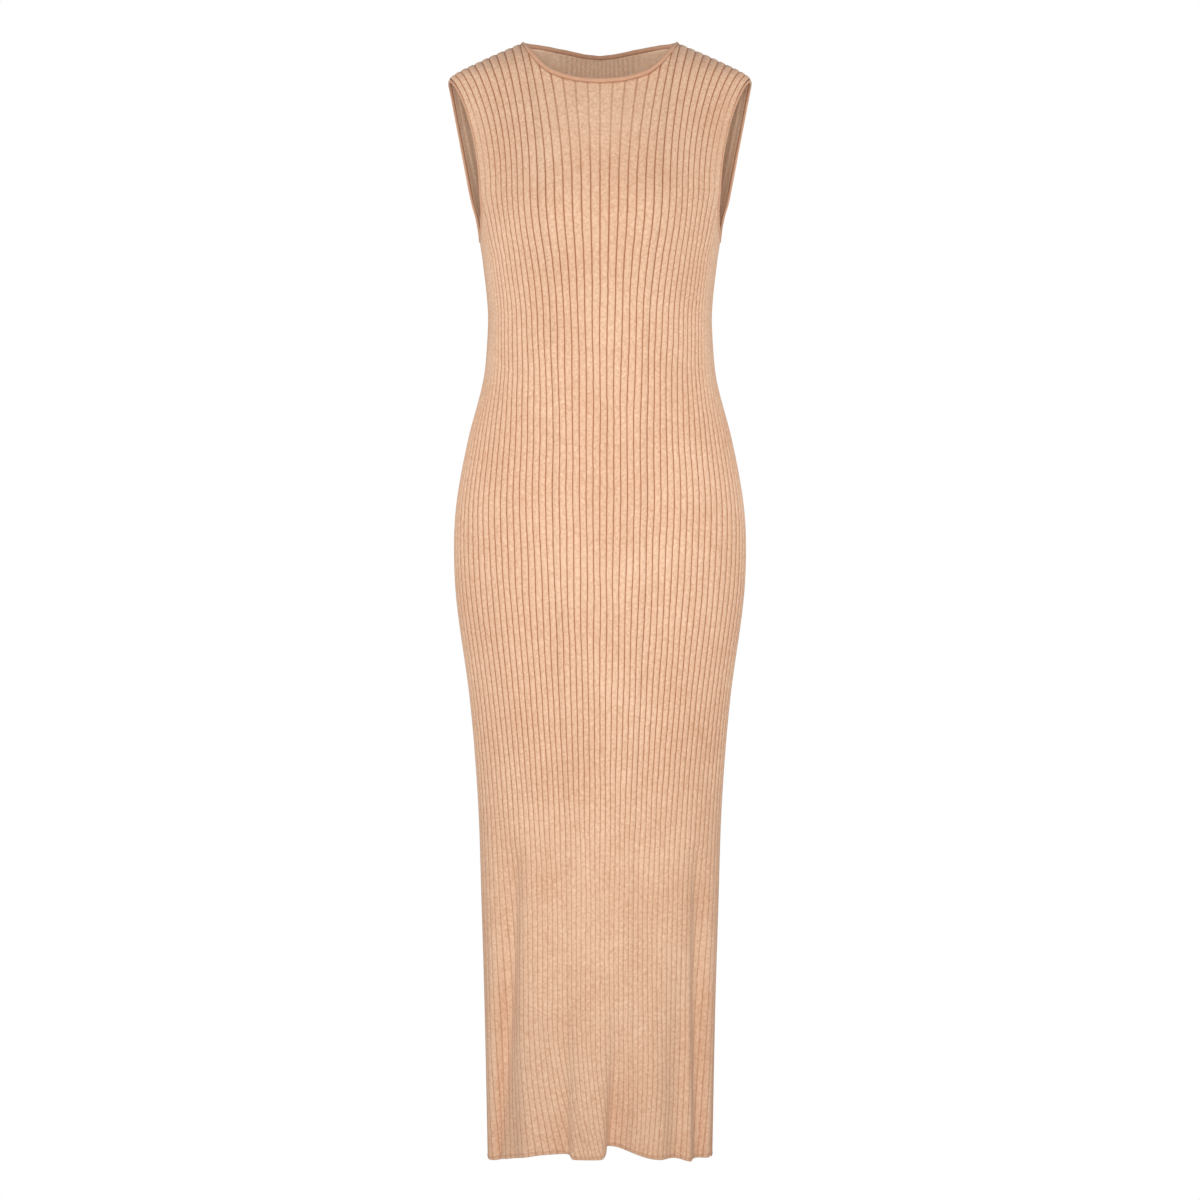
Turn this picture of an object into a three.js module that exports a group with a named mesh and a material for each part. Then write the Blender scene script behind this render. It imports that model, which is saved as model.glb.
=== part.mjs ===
// A sleeveless rib-knit sweater dress, ankle length, hollow and filled out as when it is worn.
// It is two knitted panels, front and back, joined at the shoulders and sides, with a rolled edge
// round the neck and a narrow rolled edge round each armhole.
// Millimetres, +Z up, and the front faces -Y. The origin is where the wearer's shoulders hold the
// dress: on the centre line, level with the top of the neck.
import * as THREE from "three";

// The cloth
const RIBS = 54; // ribs across each panel, from side seam to side seam
const RIB_HEIGHT = 1.1; // a rib's top above the grooves beside it
const WALL = 1.5; // thickness of the cloth at the bottom of a groove
const SEAM_GAP = 0.3; // between two pieces that a seam joins
const CLOTH_COLOUR = 0xdcb08a;
const EDGE_COLOUR = 0xd6aa84;

// The cut
const NECK_RIBS = { front: 7, back: 12 }; // ribs from the centre line to the neck's corner
const TIP_RIBS = { front: 17, back: 22 }; // ribs from the centre line to the shoulder tip
const NECK_CORNER_Z = -5;
const TIP_Z = -44;
const YOKE_Z = -184; // the armhole's edge turns outwards below this level
const UNDERARM_Z = -234;
const TUBE_Z = -257; // below this level the panels close into one tube
const HEM_Z = -1289;
const NECK_ROLL_RADIUS = 2.7;
const ARMHOLE_ROLL_RADIUS = 1.7;

// Level sections: half width, depth forward and back of the seams, squareness of the outline (2 is
// an ellipse), and how much wider each panel's middle ribs lie than the rest. Down to the tip, the
// half width follows the shoulder seam.
const SECTIONS = [
  { z: -5, half: 93, front: 54, back: 52, square: 2, frontSpread: 0.3, backSpread: 0 },
  { z: -25, half: 139, front: 60, back: 58, square: 2, frontSpread: 0.3, backSpread: 0 },
  { z: -44, half: 175, front: 65, back: 64, square: 2, frontSpread: 0.3, backSpread: 0 },
  { z: -60, half: 176.5, front: 70, back: 69, square: 2, frontSpread: 0.3, backSpread: 0 },
  { z: -90, half: 167, front: 82, back: 79, square: 2.02, frontSpread: 0.3, backSpread: 0 },
  { z: -130, half: 156, front: 96, back: 89, square: 2.05, frontSpread: 0.3, backSpread: 0 },
  { z: -178, half: 147.5, front: 106, back: 94, square: 2.1, frontSpread: 0.3, backSpread: 0 },
  { z: -208, half: 142, front: 109, back: 93, square: 2.15, frontSpread: 0.3, backSpread: 0 },
  { z: -234, half: 138.5, front: 107, back: 91, square: 2.15, frontSpread: 0.3, backSpread: 0 },
  { z: -257, half: 135, front: 103, back: 88, square: 2.15, frontSpread: 0.29, backSpread: 0.02 },
  { z: -312, half: 129.2, front: 93, back: 80, square: 2.1, frontSpread: 0.29, backSpread: 0.14 },
  { z: -347, half: 129.8, front: 91, back: 79, square: 2.1, frontSpread: 0.27, backSpread: 0.17 },
  { z: -394, half: 134.5, front: 92, back: 86, square: 2.1, frontSpread: 0.19, backSpread: 0.13 },
  { z: -463, half: 152.2, front: 94, back: 104, square: 2.1, frontSpread: 0.05, backSpread: 0.03 },
  { z: -533, half: 165.2, front: 93, back: 114, square: 2.15, frontSpread: 0, backSpread: 0 },
  { z: -585, half: 168.6, front: 91, back: 116, square: 2.15, frontSpread: -0.04, backSpread: -0.04 },
  { z: -649, half: 165.8, front: 86, back: 108, square: 2.1, frontSpread: -0.04, backSpread: -0.04 },
  { z: -765, half: 150.2, front: 74, back: 86, square: 2.05, frontSpread: -0.02, backSpread: -0.02 },
  { z: -882, half: 140.8, front: 66, back: 70, square: 2, frontSpread: -0.06, backSpread: -0.06 },
  { z: -998, half: 136.8, front: 62, back: 63, square: 2, frontSpread: -0.1, backSpread: -0.1 },
  { z: -1114, half: 133.4, front: 60, back: 61, square: 2, frontSpread: -0.07, backSpread: -0.07 },
  { z: -1289, half: 129.8, front: 62, back: 60, square: 2, frontSpread: 0, backSpread: 0 },
];
// The back reaches further round the arm than the front does.
const BACK_WIDENING = [
  { z: -44, by: 0 },
  { z: -70, by: 13 },
  { z: -110, by: 27 },
  { z: -150, by: 24 },
  { z: -184, by: 14 },
  { z: -210, by: 7 },
  { z: -234, by: 0 },
];

// Where each panel's ribs meet the neckline, from the centre line to the shoulder seam.
const NECKLINE = {
  front: [
    { rib: 0, x: 0, z: -59.6 },
    { rib: 2, x: 28.8, z: -56.8 },
    { rib: 4, x: 56.4, z: -47.4 },
    { rib: 5, x: 69.6, z: -36.8 },
    { rib: 6, x: 82.1, z: -20.9 },
    { rib: 6.5, x: 87.9, z: -12.4 },
    { rib: 7, x: 93, z: -5 },
  ],
  back: [
    { rib: 0, x: 0, z: -12.4 },
    { rib: 4, x: 19, z: -10.6 },
    { rib: 8, x: 42, z: -6.6 },
    { rib: 10.5, x: 67, z: -3.8 },
    { rib: 11.4, x: 81, z: -3.6 },
    { rib: 12, x: 93, z: -5 },
  ],
};
// Where the ribs lie at the yoke level, and how early and how soon they swing in to get there.
const YOKE = {
  front: [
    { rib: 0, x: 0, early: 1.5, soon: 1 },
    { rib: 4, x: 41.5, early: 1.7, soon: 1 },
    { rib: 8, x: 79, early: 1.9, soon: 1 },
    { rib: 12, x: 106, early: 2.2, soon: 1 },
    { rib: 17, x: 136.3, early: 1.75, soon: 0.75 },
  ],
  back: [
    { rib: 0, x: 0, early: 1.3, soon: 1 },
    { rib: 8, x: 50, early: 1.2, soon: 1 },
    { rib: 15, x: 98, early: 1.1, soon: 1 },
    { rib: 22, x: 149, early: 1, soon: 1 },
  ],
};

// Soft fullness on both sides of the centre line: bust, shoulder blades and seat.
const FULLNESS = {
  front: [{ x: 68, z: -212, wide: 54, tall: 62, out: 13 }],
  back: [
    { x: 64, z: -150, wide: 60, tall: 75, out: 6 },
    { x: 60, z: -585, wide: 62, tall: 78, out: 6 },
  ],
};

// Folds that hang into the skirt: where they meet the hem, how wide they are on either side, how
// deep they go in, how far their bottom leans across, where they start, how late they deepen, and
// how far they pull the hem up.
const FOLDS = {
  front: [
    { x: -110, left: 12, right: 15, deep: 12, lean: 0, start: -880, late: 1, up: 0 },
    { x: -48, left: 40, right: 10, deep: 11, lean: 4, start: -1060, late: 1.5, up: 4 },
    { x: 23, left: 13, right: 25, deep: 31, lean: -10, start: -1040, late: 2.2, up: 11 },
    { x: 89, left: 14, right: 11, deep: 7, lean: 0, start: -1000, late: 1.2, up: 2 },
    { x: 119, left: 9, right: 9, deep: 10, lean: 0, start: -900, late: 1, up: 0 },
  ],
  back: [
    { x: -84, left: 22, right: 16, deep: 10, lean: 0, start: -960, late: 1.3, up: 0 },
    { x: -18, left: 20, right: 26, deep: 22, lean: 5, start: -1000, late: 1.8, up: 6 },
    { x: 62, left: 18, right: 20, deep: 12, lean: 0, start: -1040, late: 1.5, up: 2 },
  ],
};
const FOLD_POWER = 2.5; // a fold's bottom is a little flat
// The hem sinks at the seams, and the ribs swing across.
const HEM_START = -1130;
const HEM_DROPS = [
  { x: -128, wide: 34, by: 9 },
  { x: 118, wide: 42, by: 7 },
];
const HEM_SWINGS = {
  front: [
    { x: -62, wide: 44, by: 16 },
    { x: 42, wide: 24, by: 5 },
  ],
  back: [{ x: 24, wide: 40, by: -8 }],
};

// The mesh
const SIDES = { front: -1, back: 1 }; // the sign of Y that each panel faces
const YOKE_STEPS = [0, 0.02, 0.07, 0.16, 0.3, 0.5, 0.74]; // shares of the way down to the yoke
const TUBE_STEPS = [1 / 3, 2 / 3]; // shares of the way from there to the tube
const TUBE_LEVELS = [
  -257, -285, -325, -375, -430, -490, -560, -650, -770, -900, -1030, -1130, -1195, -1245, -1289,
];
const COLUMNS = RIBS * 2; // grooves are even columns and rib tops are odd ones
const YOKE_ROW = YOKE_STEPS.length; // this row runs along both armhole scoops and the yoke level
const SECTION_SAMPLES = 400;
const ROLL_SIDES = 6;

/** The value of a table's column at a place along it, on a smooth curve through the rows. */
function lookUp(table, place, key, column) {
  const last = table.length - 1;
  const sign = Math.sign(table[last][key] - table[0][key]);
  let i = 0;
  while (i < last - 1 && (place - table[i + 1][key]) * sign > 0) i++;
  const slope = (k) => {
    const before = table[Math.max(0, k - 1)];
    const after = table[Math.min(last, k + 1)];
    return (after[column] - before[column]) / (after[key] - before[key]);
  };
  const [a, b] = [table[i], table[i + 1]];
  const step = b[key] - a[key];
  const t = THREE.MathUtils.clamp((place - a[key]) / step, 0, 1);
  const [t2, t3] = [t * t, t * t * t];
  return (
    (2 * t3 - 3 * t2 + 1) * a[column] +
    (t3 - 2 * t2 + t) * step * slope(i) +
    (3 * t2 - 2 * t3) * b[column] +
    (t3 - t2) * step * slope(i + 1)
  );
}

/** A bell that is 1 at the middle and falls away over its width; a higher power flattens its top. */
const bell = (offset, width, power = 2) => Math.exp(-(Math.abs(offset / width) ** power));

/** A value of the level section at this height. */
const section = (z, column) => lookUp(SECTIONS, z, "z", column);

/** The half width of one panel's level section. */
function halfWidth(side, z) {
  const widened = side === "back" && z < TIP_Z && z > UNDERARM_Z;
  return section(z, "half") + (widened ? lookUp(BACK_WIDENING, z, "z", "by") : 0);
}

/** A point of a panel's surface without its folds, at a place across it and a height. */
function surfacePoint(side, x, z) {
  const share = Math.min(1, Math.abs(x) / halfWidth(side, z));
  const square = section(z, "square");
  let out = section(z, side) * (1 - share ** square) ** (1 / square);
  for (const full of FULLNESS[side])
    for (const mirror of [-1, 1])
      out +=
        full.out * (1 - share ** 4) * bell(x - mirror * full.x, full.wide) * bell(z - full.z, full.tall);
  return new THREE.Vector3(x, SIDES[side] * out, z);
}

/** How far below its start a fold has grown at this height, from 0 to 1 at the hem. */
const grown = (z, start) => Math.max(0, start - z) / (start - HEM_Z);

/** A panel's outline at one height, with its folds, as closely spaced points and their lengths. */
function outline(side, z) {
  const half = halfWidth(side, z);
  const plain = [];
  for (let k = 0; k <= SECTION_SAMPLES; k++)
    plain.push(surfacePoint(side, half * Math.sin((k / SECTION_SAMPLES - 0.5) * Math.PI), z));
  const up = new THREE.Vector3(0, 0, 1);
  const points = plain.map((point, k) => {
    const across = plain[Math.min(k + 1, SECTION_SAMPLES)].clone().sub(plain[Math.max(k - 1, 0)]);
    across.normalize();
    const inwards = across.clone().cross(up).multiplyScalar(SIDES[side]);
    const folded = point.clone();
    for (const fold of FOLDS[side]) {
      const width = point.x < fold.x ? fold.left : fold.right;
      const share = grown(z, fold.start) ** fold.late * bell(point.x - fold.x, width, FOLD_POWER);
      folded.addScaledVector(inwards, share * fold.deep).addScaledVector(across, share * fold.lean);
      folded.z += share * fold.up;
    }
    return folded;
  });
  const lengths = [0];
  for (let k = 1; k < points.length; k++)
    lengths.push(lengths[k - 1] + points[k].distanceTo(points[k - 1]));
  return { points, lengths };
}

/** The point of an outline that lies this share of its length from its left end. */
function pointAlong({ points, lengths }, share) {
  const wanted = share * lengths[SECTION_SAMPLES];
  let k = 1;
  while (k < SECTION_SAMPLES && lengths[k] < wanted) k++;
  const t = THREE.MathUtils.clamp((wanted - lengths[k - 1]) / (lengths[k] - lengths[k - 1]), 0, 1);
  return points[k - 1].clone().lerp(points[k], t);
}

/** The share of an outline's length at which it reaches this place across. */
function shareAt({ points, lengths }, x) {
  let k = 1;
  while (k < SECTION_SAMPLES && points[k].x < x) k++;
  const t = THREE.MathUtils.clamp((x - points[k - 1].x) / (points[k].x - points[k - 1].x), 0, 1);
  return THREE.MathUtils.lerp(lengths[k - 1], lengths[k], t) / lengths[SECTION_SAMPLES];
}

/** The share of the tube's outline at which a column lies. */
function tubeShare(side, column, z) {
  const across = (column / COLUMNS) * 2 - 1;
  return (1 + across + (section(z, `${side}Spread`) * Math.sin(Math.PI * across)) / Math.PI) / 2;
}

/** One row of the panel's points on the tube. */
function tubeRow(side, z) {
  const level = outline(side, z);
  const length = level.lengths[SECTION_SAMPLES];
  const late = grown(z, HEM_START) ** 1.5;
  const row = [];
  for (let column = 0; column <= COLUMNS; column++) {
    let share = tubeShare(side, column, z);
    const along = (share - 0.5) * length;
    for (const swing of HEM_SWINGS[side])
      share += (swing.by * late * bell(along - swing.x, swing.wide)) / length;
    const point = pointAlong(level, THREE.MathUtils.clamp(share, 0, 1));
    for (const drop of HEM_DROPS) point.z -= drop.by * late * bell(point.x - drop.x, drop.wide);
    row.push(point);
  }
  return row;
}

/** Where a rib meets the neckline or the shoulder seam, on the wearer's left. */
function topEdge(side, rib) {
  const [neck, tip] = [NECK_RIBS[side], TIP_RIBS[side]];
  if (rib <= neck)
    return { x: lookUp(NECKLINE[side], rib, "rib", "x"), z: lookUp(NECKLINE[side], rib, "rib", "z") };
  const z = THREE.MathUtils.lerp(NECK_CORNER_Z, TIP_Z, (rib - neck) / (tip - neck));
  return { x: section(z, "half"), z };
}

/** The panel's surface at the bottom of its grooves: rows of points from the top edge to the hem. */
function panelGrid(side) {
  const tip = TIP_RIBS[side];
  const rows = YOKE_STEPS.map(() => []);
  const yokeRow = [];
  const yokeLevel = outline(side, YOKE_Z);
  const yokeShares = [];
  for (let column = 0; column <= COLUMNS; column++) {
    const offset = (column - RIBS) / 2;
    const mirror = offset < 0 ? -1 : 1;
    const rib = Math.min(Math.abs(offset), tip);
    const target = lookUp(YOKE[side], rib, "rib", "x");
    const yokeShare = shareAt(yokeLevel, mirror * target);
    if (Math.abs(offset) <= tip) {
      const top = topEdge(side, rib);
      const early = lookUp(YOKE[side], rib, "rib", "early");
      const soon = lookUp(YOKE[side], rib, "rib", "soon");
      YOKE_STEPS.forEach((t, r) => {
        const x = THREE.MathUtils.lerp(top.x, target, 1 - (1 - t ** soon) ** early);
        rows[r][column] = surfacePoint(side, mirror * x, THREE.MathUtils.lerp(top.z, YOKE_Z, t));
      });
      yokeRow.push(surfacePoint(side, mirror * target, YOKE_Z));
      yokeShares.push({ share: yokeShare, z: YOKE_Z });
    } else {
      const angle = ((Math.abs(offset) - tip) / (RIBS / 2 - tip)) * (Math.PI / 2);
      const z = THREE.MathUtils.lerp(YOKE_Z, UNDERARM_Z, Math.sin(angle));
      const end = mirror > 0 ? 1 : 0;
      const share = THREE.MathUtils.lerp(end, yokeShare, Math.cos(angle));
      yokeRow.push(pointAlong(outline(side, z), share));
      yokeShares.push({ share, z });
    }
  }
  rows.push(yokeRow);
  for (const t of TUBE_STEPS)
    rows.push(
      yokeShares.map(({ share, z }, column) => {
        const level = outline(side, THREE.MathUtils.lerp(z, TUBE_Z, t));
        return pointAlong(level, THREE.MathUtils.lerp(share, tubeShare(side, column, TUBE_Z), t));
      }),
    );
  for (const z of TUBE_LEVELS) rows.push(tubeRow(side, z));
  return rows;
}

/** The columns that a row of panel faces spans. */
function span(side, row) {
  const tip = 2 * TIP_RIBS[side];
  return row < YOKE_ROW ? [RIBS - tip, RIBS + tip] : [0, COLUMNS];
}

/** The outward direction at each point of a panel's grid. */
function gridNormals(side, rows) {
  const sums = rows.map((row) => row.map(() => new THREE.Vector3()));
  for (let r = 0; r < rows.length - 1; r++) {
    const [from, to] = span(side, r);
    for (let c = from; c < to; c++) {
      const down = rows[r + 1][c + 1].clone().sub(rows[r][c]);
      const across = rows[r][c + 1].clone().sub(rows[r + 1][c]);
      const facing = across.cross(down).multiplyScalar(SIDES[side]);
      for (const [i, j] of [[r, c], [r, c + 1], [r + 1, c], [r + 1, c + 1]]) sums[i][j].add(facing);
    }
  }
  for (const row of sums) row.forEach((sum) => sum.normalize());
  return sums;
}

/** Whether both panels have this point: on a side seam or on a shoulder seam. */
function onSeam(side, row, column) {
  const rib = Math.abs(column - RIBS) / 2;
  return rib === RIBS / 2 || (row === 0 && rib >= NECK_RIBS[side] && rib <= TIP_RIBS[side]);
}

const grids = { front: panelGrid("front"), back: panelGrid("back") };
const normals = { front: gridNormals("front", grids.front), back: gridNormals("back", grids.back) };
grids.front.forEach((row, r) =>
  row.forEach((_, c) => {
    if (!onSeam("front", r, c)) return;
    const shift = r === 0 ? 2 * (NECK_RIBS.back - NECK_RIBS.front) * Math.sign(c - RIBS) : 0;
    const pair = [normals.front[r][c], normals.back[r][c + shift]];
    const shared = pair[0].clone().add(pair[1]).normalize();
    for (const normal of pair) normal.copy(shared);
  }),
);

/** A geometry from points and triangles. */
function solidFrom(points, triangles) {
  const geometry = new THREE.BufferGeometry();
  geometry.setAttribute("position", new THREE.Float32BufferAttribute(points.flatMap((p) => p.toArray()), 3));
  geometry.setIndex(triangles.flat());
  geometry.computeVertexNormals();
  return geometry;
}

/** The panel as a wall of cloth, ribbed outside and plain inside. */
function panelGeometry(side) {
  const rows = grids[side];
  const last = rows.length - 1;
  const points = [];
  const triangles = [];
  const put = (r, c, height) => {
    const point = rows[r][c].clone().addScaledVector(normals[side][r][c], height);
    if (onSeam(side, r, c)) point.y += (SIDES[side] * SEAM_GAP) / 2;
    return points.push(point) - 1;
  };
  const outer = rows.map((row, r) => row.map((_, c) => put(r, c, c % 2 ? RIB_HEIGHT : 0)));
  // The inside has a point under each groove, and along the curved edges under each rib too.
  const atCurve = (r, c) => {
    const rib = Math.abs(c - RIBS) / 2;
    return (r === 0 && rib <= NECK_RIBS[side]) || (r === YOKE_ROW && rib > TIP_RIBS[side]);
  };
  const inner = rows.map((row, r) => row.map((_, c) => (c % 2 && !atCurve(r, c) ? null : put(r, c, -WALL))));
  // Faces are listed as for the back panel, and turned round for the front one. The two halves of a
  // panel are split into triangles as mirror images.
  const face = (a, b, c) => triangles.push(SIDES[side] > 0 ? [a, b, c] : [a, c, b]);
  const quad = (a, b, c, d) => {
    face(a, b, c);
    face(a, c, d);
  };
  // The rim between a groove and the next, seen with the cloth hanging below it.
  const rim = (r, c) => {
    const [a, middle, b] = inner[r].slice(c, c + 3);
    if (middle === null) face(a, b, outer[r][c + 1]);
    else {
      face(a, middle, outer[r][c + 1]);
      face(middle, b, outer[r][c + 1]);
    }
    face(a, outer[r][c + 1], outer[r][c]);
    face(b, outer[r][c + 2], outer[r][c + 1]);
  };
  for (let r = 0; r < last; r++) {
    const [from, to] = span(side, r);
    for (let c = from; c < to; c++) {
      const corners = [outer[r][c], outer[r][c + 1], outer[r + 1][c + 1], outer[r + 1][c]];
      if (c < RIBS) corners.push(corners.shift());
      quad(...corners);
    }
    for (let c = from; c < to; c += 2) {
      const [a, middle, b] = inner[r].slice(c, c + 3);
      const [under, underNext] = [inner[r + 1][c], inner[r + 1][c + 2]];
      if (c < RIBS) {
        if (middle !== null) face(middle, underNext, b);
        quad(under, underNext, middle ?? b, a);
      } else {
        if (middle !== null) face(a, under, middle);
        quad(middle ?? a, under, underNext, b);
      }
    }
    quad(outer[r][from], outer[r + 1][from], inner[r + 1][from], inner[r][from]);
    quad(outer[r + 1][to], outer[r][to], inner[r][to], inner[r + 1][to]);
  }
  const [leftTip, rightTip] = span(side, 0);
  for (let c = leftTip; c < rightTip; c += 2) rim(0, c);
  for (let c = 0; c < leftTip; c += 2) rim(YOKE_ROW, c);
  for (let c = rightTip; c < COLUMNS; c += 2) rim(YOKE_ROW, c);
  for (let c = 0; c < COLUMNS; c += 2) {
    face(inner[last][c], outer[last][c + 1], inner[last][c + 2]);
    face(inner[last][c], outer[last][c], outer[last][c + 1]);
    face(inner[last][c + 2], outer[last][c + 1], outer[last][c + 2]);
  }
  return solidFrom(points, triangles);
}

/** A rolled edge just clear of a loop of panel points, which runs with the cloth on its left. */
function rollGeometry(loop, radius) {
  const count = loop.length;
  const points = [];
  const triangles = [];
  loop.forEach(({ point, normal }, k) => {
    const ahead = loop[(k + 1) % count].point.clone().sub(point).normalize();
    const behind = point.clone().sub(loop[(k + count - 1) % count].point).normalize();
    const along = ahead.clone().add(behind).normalize();
    const away = along.clone().cross(normal).normalize();
    const upright = away.clone().cross(along);
    const corner = 1 / along.dot(ahead); // a bend needs more room than a straight stretch
    const centre = point
      .clone()
      .addScaledVector(upright, (RIB_HEIGHT / 2 - WALL) / 2)
      .addScaledVector(away, (radius + SEAM_GAP) * corner);
    for (let s = 0; s < ROLL_SIDES; s++) {
      const angle = (s / ROLL_SIDES) * 2 * Math.PI;
      points.push(
        centre
          .clone()
          .addScaledVector(away, radius * Math.cos(angle))
          .addScaledVector(upright, radius * Math.sin(angle)),
      );
    }
  });
  for (let k = 0; k < count; k++)
    for (let s = 0; s < ROLL_SIDES; s++) {
      const next = (s + 1) % ROLL_SIDES;
      const [a, b] = [k * ROLL_SIDES, ((k + 1) % count) * ROLL_SIDES];
      triangles.push([a + s, b + s, b + next], [a + s, b + next, a + next]);
    }
  return solidFrom(points, triangles);
}

/** A panel's edge point, as a place for a rolled edge. */
const place = (side, r, c) => ({ point: grids[side][r][c], normal: normals[side][r][c] });

/** One panel's neckline, from the wearer's left to the right. */
function neckEdge(side) {
  const places = [];
  for (let rib = NECK_RIBS[side]; rib >= -NECK_RIBS[side]; rib -= 0.5)
    places.push(place(side, 0, RIBS + 2 * rib));
  return places;
}

/** The neckline, all round. */
const neckLoop = () => [...neckEdge("front"), ...neckEdge("back").slice(1, -1).reverse()];

/** One panel's armhole edge from the underarm to the tip, on the wearer's left (1) or right (-1). */
function armholeEdge(side, mirror) {
  const tip = TIP_RIBS[side];
  const places = [];
  for (let rib = RIBS / 2; rib >= tip; rib -= 0.5)
    places.push(place(side, YOKE_ROW, RIBS + mirror * 2 * rib));
  for (let r = YOKE_ROW - 1; r >= 0; r--) places.push(place(side, r, RIBS + mirror * 2 * tip));
  return places;
}

/** One armhole, all round. */
function armholeLoop(mirror) {
  const loop = [...armholeEdge("front", mirror), ...armholeEdge("back", mirror).slice(1, -1).reverse()];
  return mirror > 0 ? loop : loop.reverse();
}

const cloth = new THREE.MeshStandardMaterial({ color: CLOTH_COLOUR, roughness: 0.95, metalness: 0 });
const rolled = new THREE.MeshStandardMaterial({ color: EDGE_COLOUR, roughness: 0.95, metalness: 0 });

/** A named piece of the dress. */
function piece(name, geometry, material) {
  const mesh = new THREE.Mesh(geometry, material);
  mesh.name = name;
  return mesh;
}

const dress = new THREE.Group();
dress.name = "sweater_dress";
dress.add(
  piece("front_panel", panelGeometry("front"), cloth),
  piece("back_panel", panelGeometry("back"), cloth),
  piece("neck_roll", rollGeometry(neckLoop(), NECK_ROLL_RADIUS), rolled),
  piece("armhole_roll_left", rollGeometry(armholeLoop(1), ARMHOLE_ROLL_RADIUS), rolled),
  piece("armhole_roll_right", rollGeometry(armholeLoop(-1), ARMHOLE_ROLL_RADIUS), rolled),
);

export default dress;
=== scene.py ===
"""The looks of a sleeveless rib-knit sweater dress, ankle length, filled out as when it is worn.

Two knitted panels, front and back, hang as thin ribbed shells from the shoulders. A rolled edge
runs round the neck, a narrower one round each armhole, and overlocked seams join the panels inside.

Lengths are in millimetres until a mesh is made. X is across, Y is depth with the front at minus Y,
and Z is height with the shoulders near zero. A rib is counted from one side seam to the other.
"""

import logging
import math
from collections.abc import Sequence
from dataclasses import dataclass, field
from enum import Enum

import bpy
import numpy as np
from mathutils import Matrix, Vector


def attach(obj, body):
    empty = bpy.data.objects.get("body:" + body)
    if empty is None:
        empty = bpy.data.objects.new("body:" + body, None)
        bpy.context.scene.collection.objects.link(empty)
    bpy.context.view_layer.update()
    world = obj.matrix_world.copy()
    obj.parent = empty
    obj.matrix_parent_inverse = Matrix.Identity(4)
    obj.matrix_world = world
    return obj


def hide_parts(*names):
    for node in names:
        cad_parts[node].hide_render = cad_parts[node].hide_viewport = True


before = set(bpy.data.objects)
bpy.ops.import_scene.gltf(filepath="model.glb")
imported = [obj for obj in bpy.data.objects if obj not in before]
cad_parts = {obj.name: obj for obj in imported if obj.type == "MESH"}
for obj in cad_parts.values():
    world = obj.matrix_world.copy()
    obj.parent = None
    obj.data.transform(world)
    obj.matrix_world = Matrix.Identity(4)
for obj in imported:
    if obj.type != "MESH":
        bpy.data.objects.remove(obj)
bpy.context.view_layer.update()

LOG = logging.getLogger("sweater_dress")
METRES = 0.001  # one millimetre
Array = np.ndarray
Rows = tuple[tuple[float, ...], ...]
Point = tuple[float, float, float]
Range = tuple[float, float]
Piece = bpy.types.Object
Material = bpy.types.Material
Socket = bpy.types.NodeSocket

# The cloth
RIBS = 54  # ribs across each panel, from side seam to side seam
RIB_HEIGHT = 1.1  # a rib's top above the grooves beside it
WALL = 1.5  # thickness of the cloth at the bottom of a groove
RIB_PITCH = 7.5  # the usual width of a rib, which the patterns are scaled by
GROOVE = 0.13  # half a groove's width, in ribs
RIDGE = 0.22  # half the width of the ridge behind a groove, in ribs
RIDGE_HIGH, RIDGE_FOOT = 0.8, 0.35  # its height, and the share of it that lies within the wall
WAVER_START = 40.0  # how far down the tube the ribs take to waver fully
WALES = 3  # columns of stitches to a rib
INNER_SHARE = 0.75  # how strongly the ribs show inside
SMOOTH_NEAR: Range = (40, 50)  # across and up, where the inside of the back neck turns smooth
SMOOTH_FAR: Range = (100, 130)
SMOOTH_Z: Range = (-80, -60)
CREASE_FADE = 0.06  # the share of the half width over which creases fade at a side seam
SIDE_DIP, SIDE_DIP_WIDE = 0.5, 2.6  # how far the cloth sinks at a side seam, and how far from it
TOP_DIP, TOP_DIP_WIDE = 0.4, 2.2  # the same at a shoulder seam
HEM_SOFT = 1.3  # the height over which the cloth draws together at the hem
HEM_OUTER, HEM_INNER, HEM_FLAT = 0.75, 0.8, 0.6  # how far each face draws in, and its usual height
BEAD, BEAD_UP, BEAD_WIDE = 0.35, 3.0, 1.8  # a bead's height, and its place and size above the hem

# Heights that the panels share
NECK_CORNER_Z = -5.0
TIP_Z = -44.0
YOKE_Z = -184.0
UNDERARM_Z = -234.0
TUBE_Z = -257.0
HEM_Z = -1289.0
HEM_START = -1130.0  # where the cloth begins to swing and sink towards the hem
HEM_POWER = 1.5  # 1 would let it grow evenly from there

# The mesh
COLUMN_OFFSETS = (0.0, 0.09, 0.22, 0.5, 0.78, 0.91)  # the columns within a rib
STEP = len(COLUMN_OFFSETS)
MIDDLE = STEP * RIBS // 2  # the column on the centre line
YOKE_ROWS = 26
YOKE_CROWDING = 1.4  # 1 spaces the yoke's rows evenly, and more draws them up to its top
SCOOP_ROWS = 8
TUBE_ROWS = 109
LAST_TUBE_ROW = 9.0  # its height above the hem
HEM_ROWS = (5.6, 3.4, 1.6, 0.0)  # the heights of the rows below it above the hem
OUTLINE_SAMPLES = 400

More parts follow.
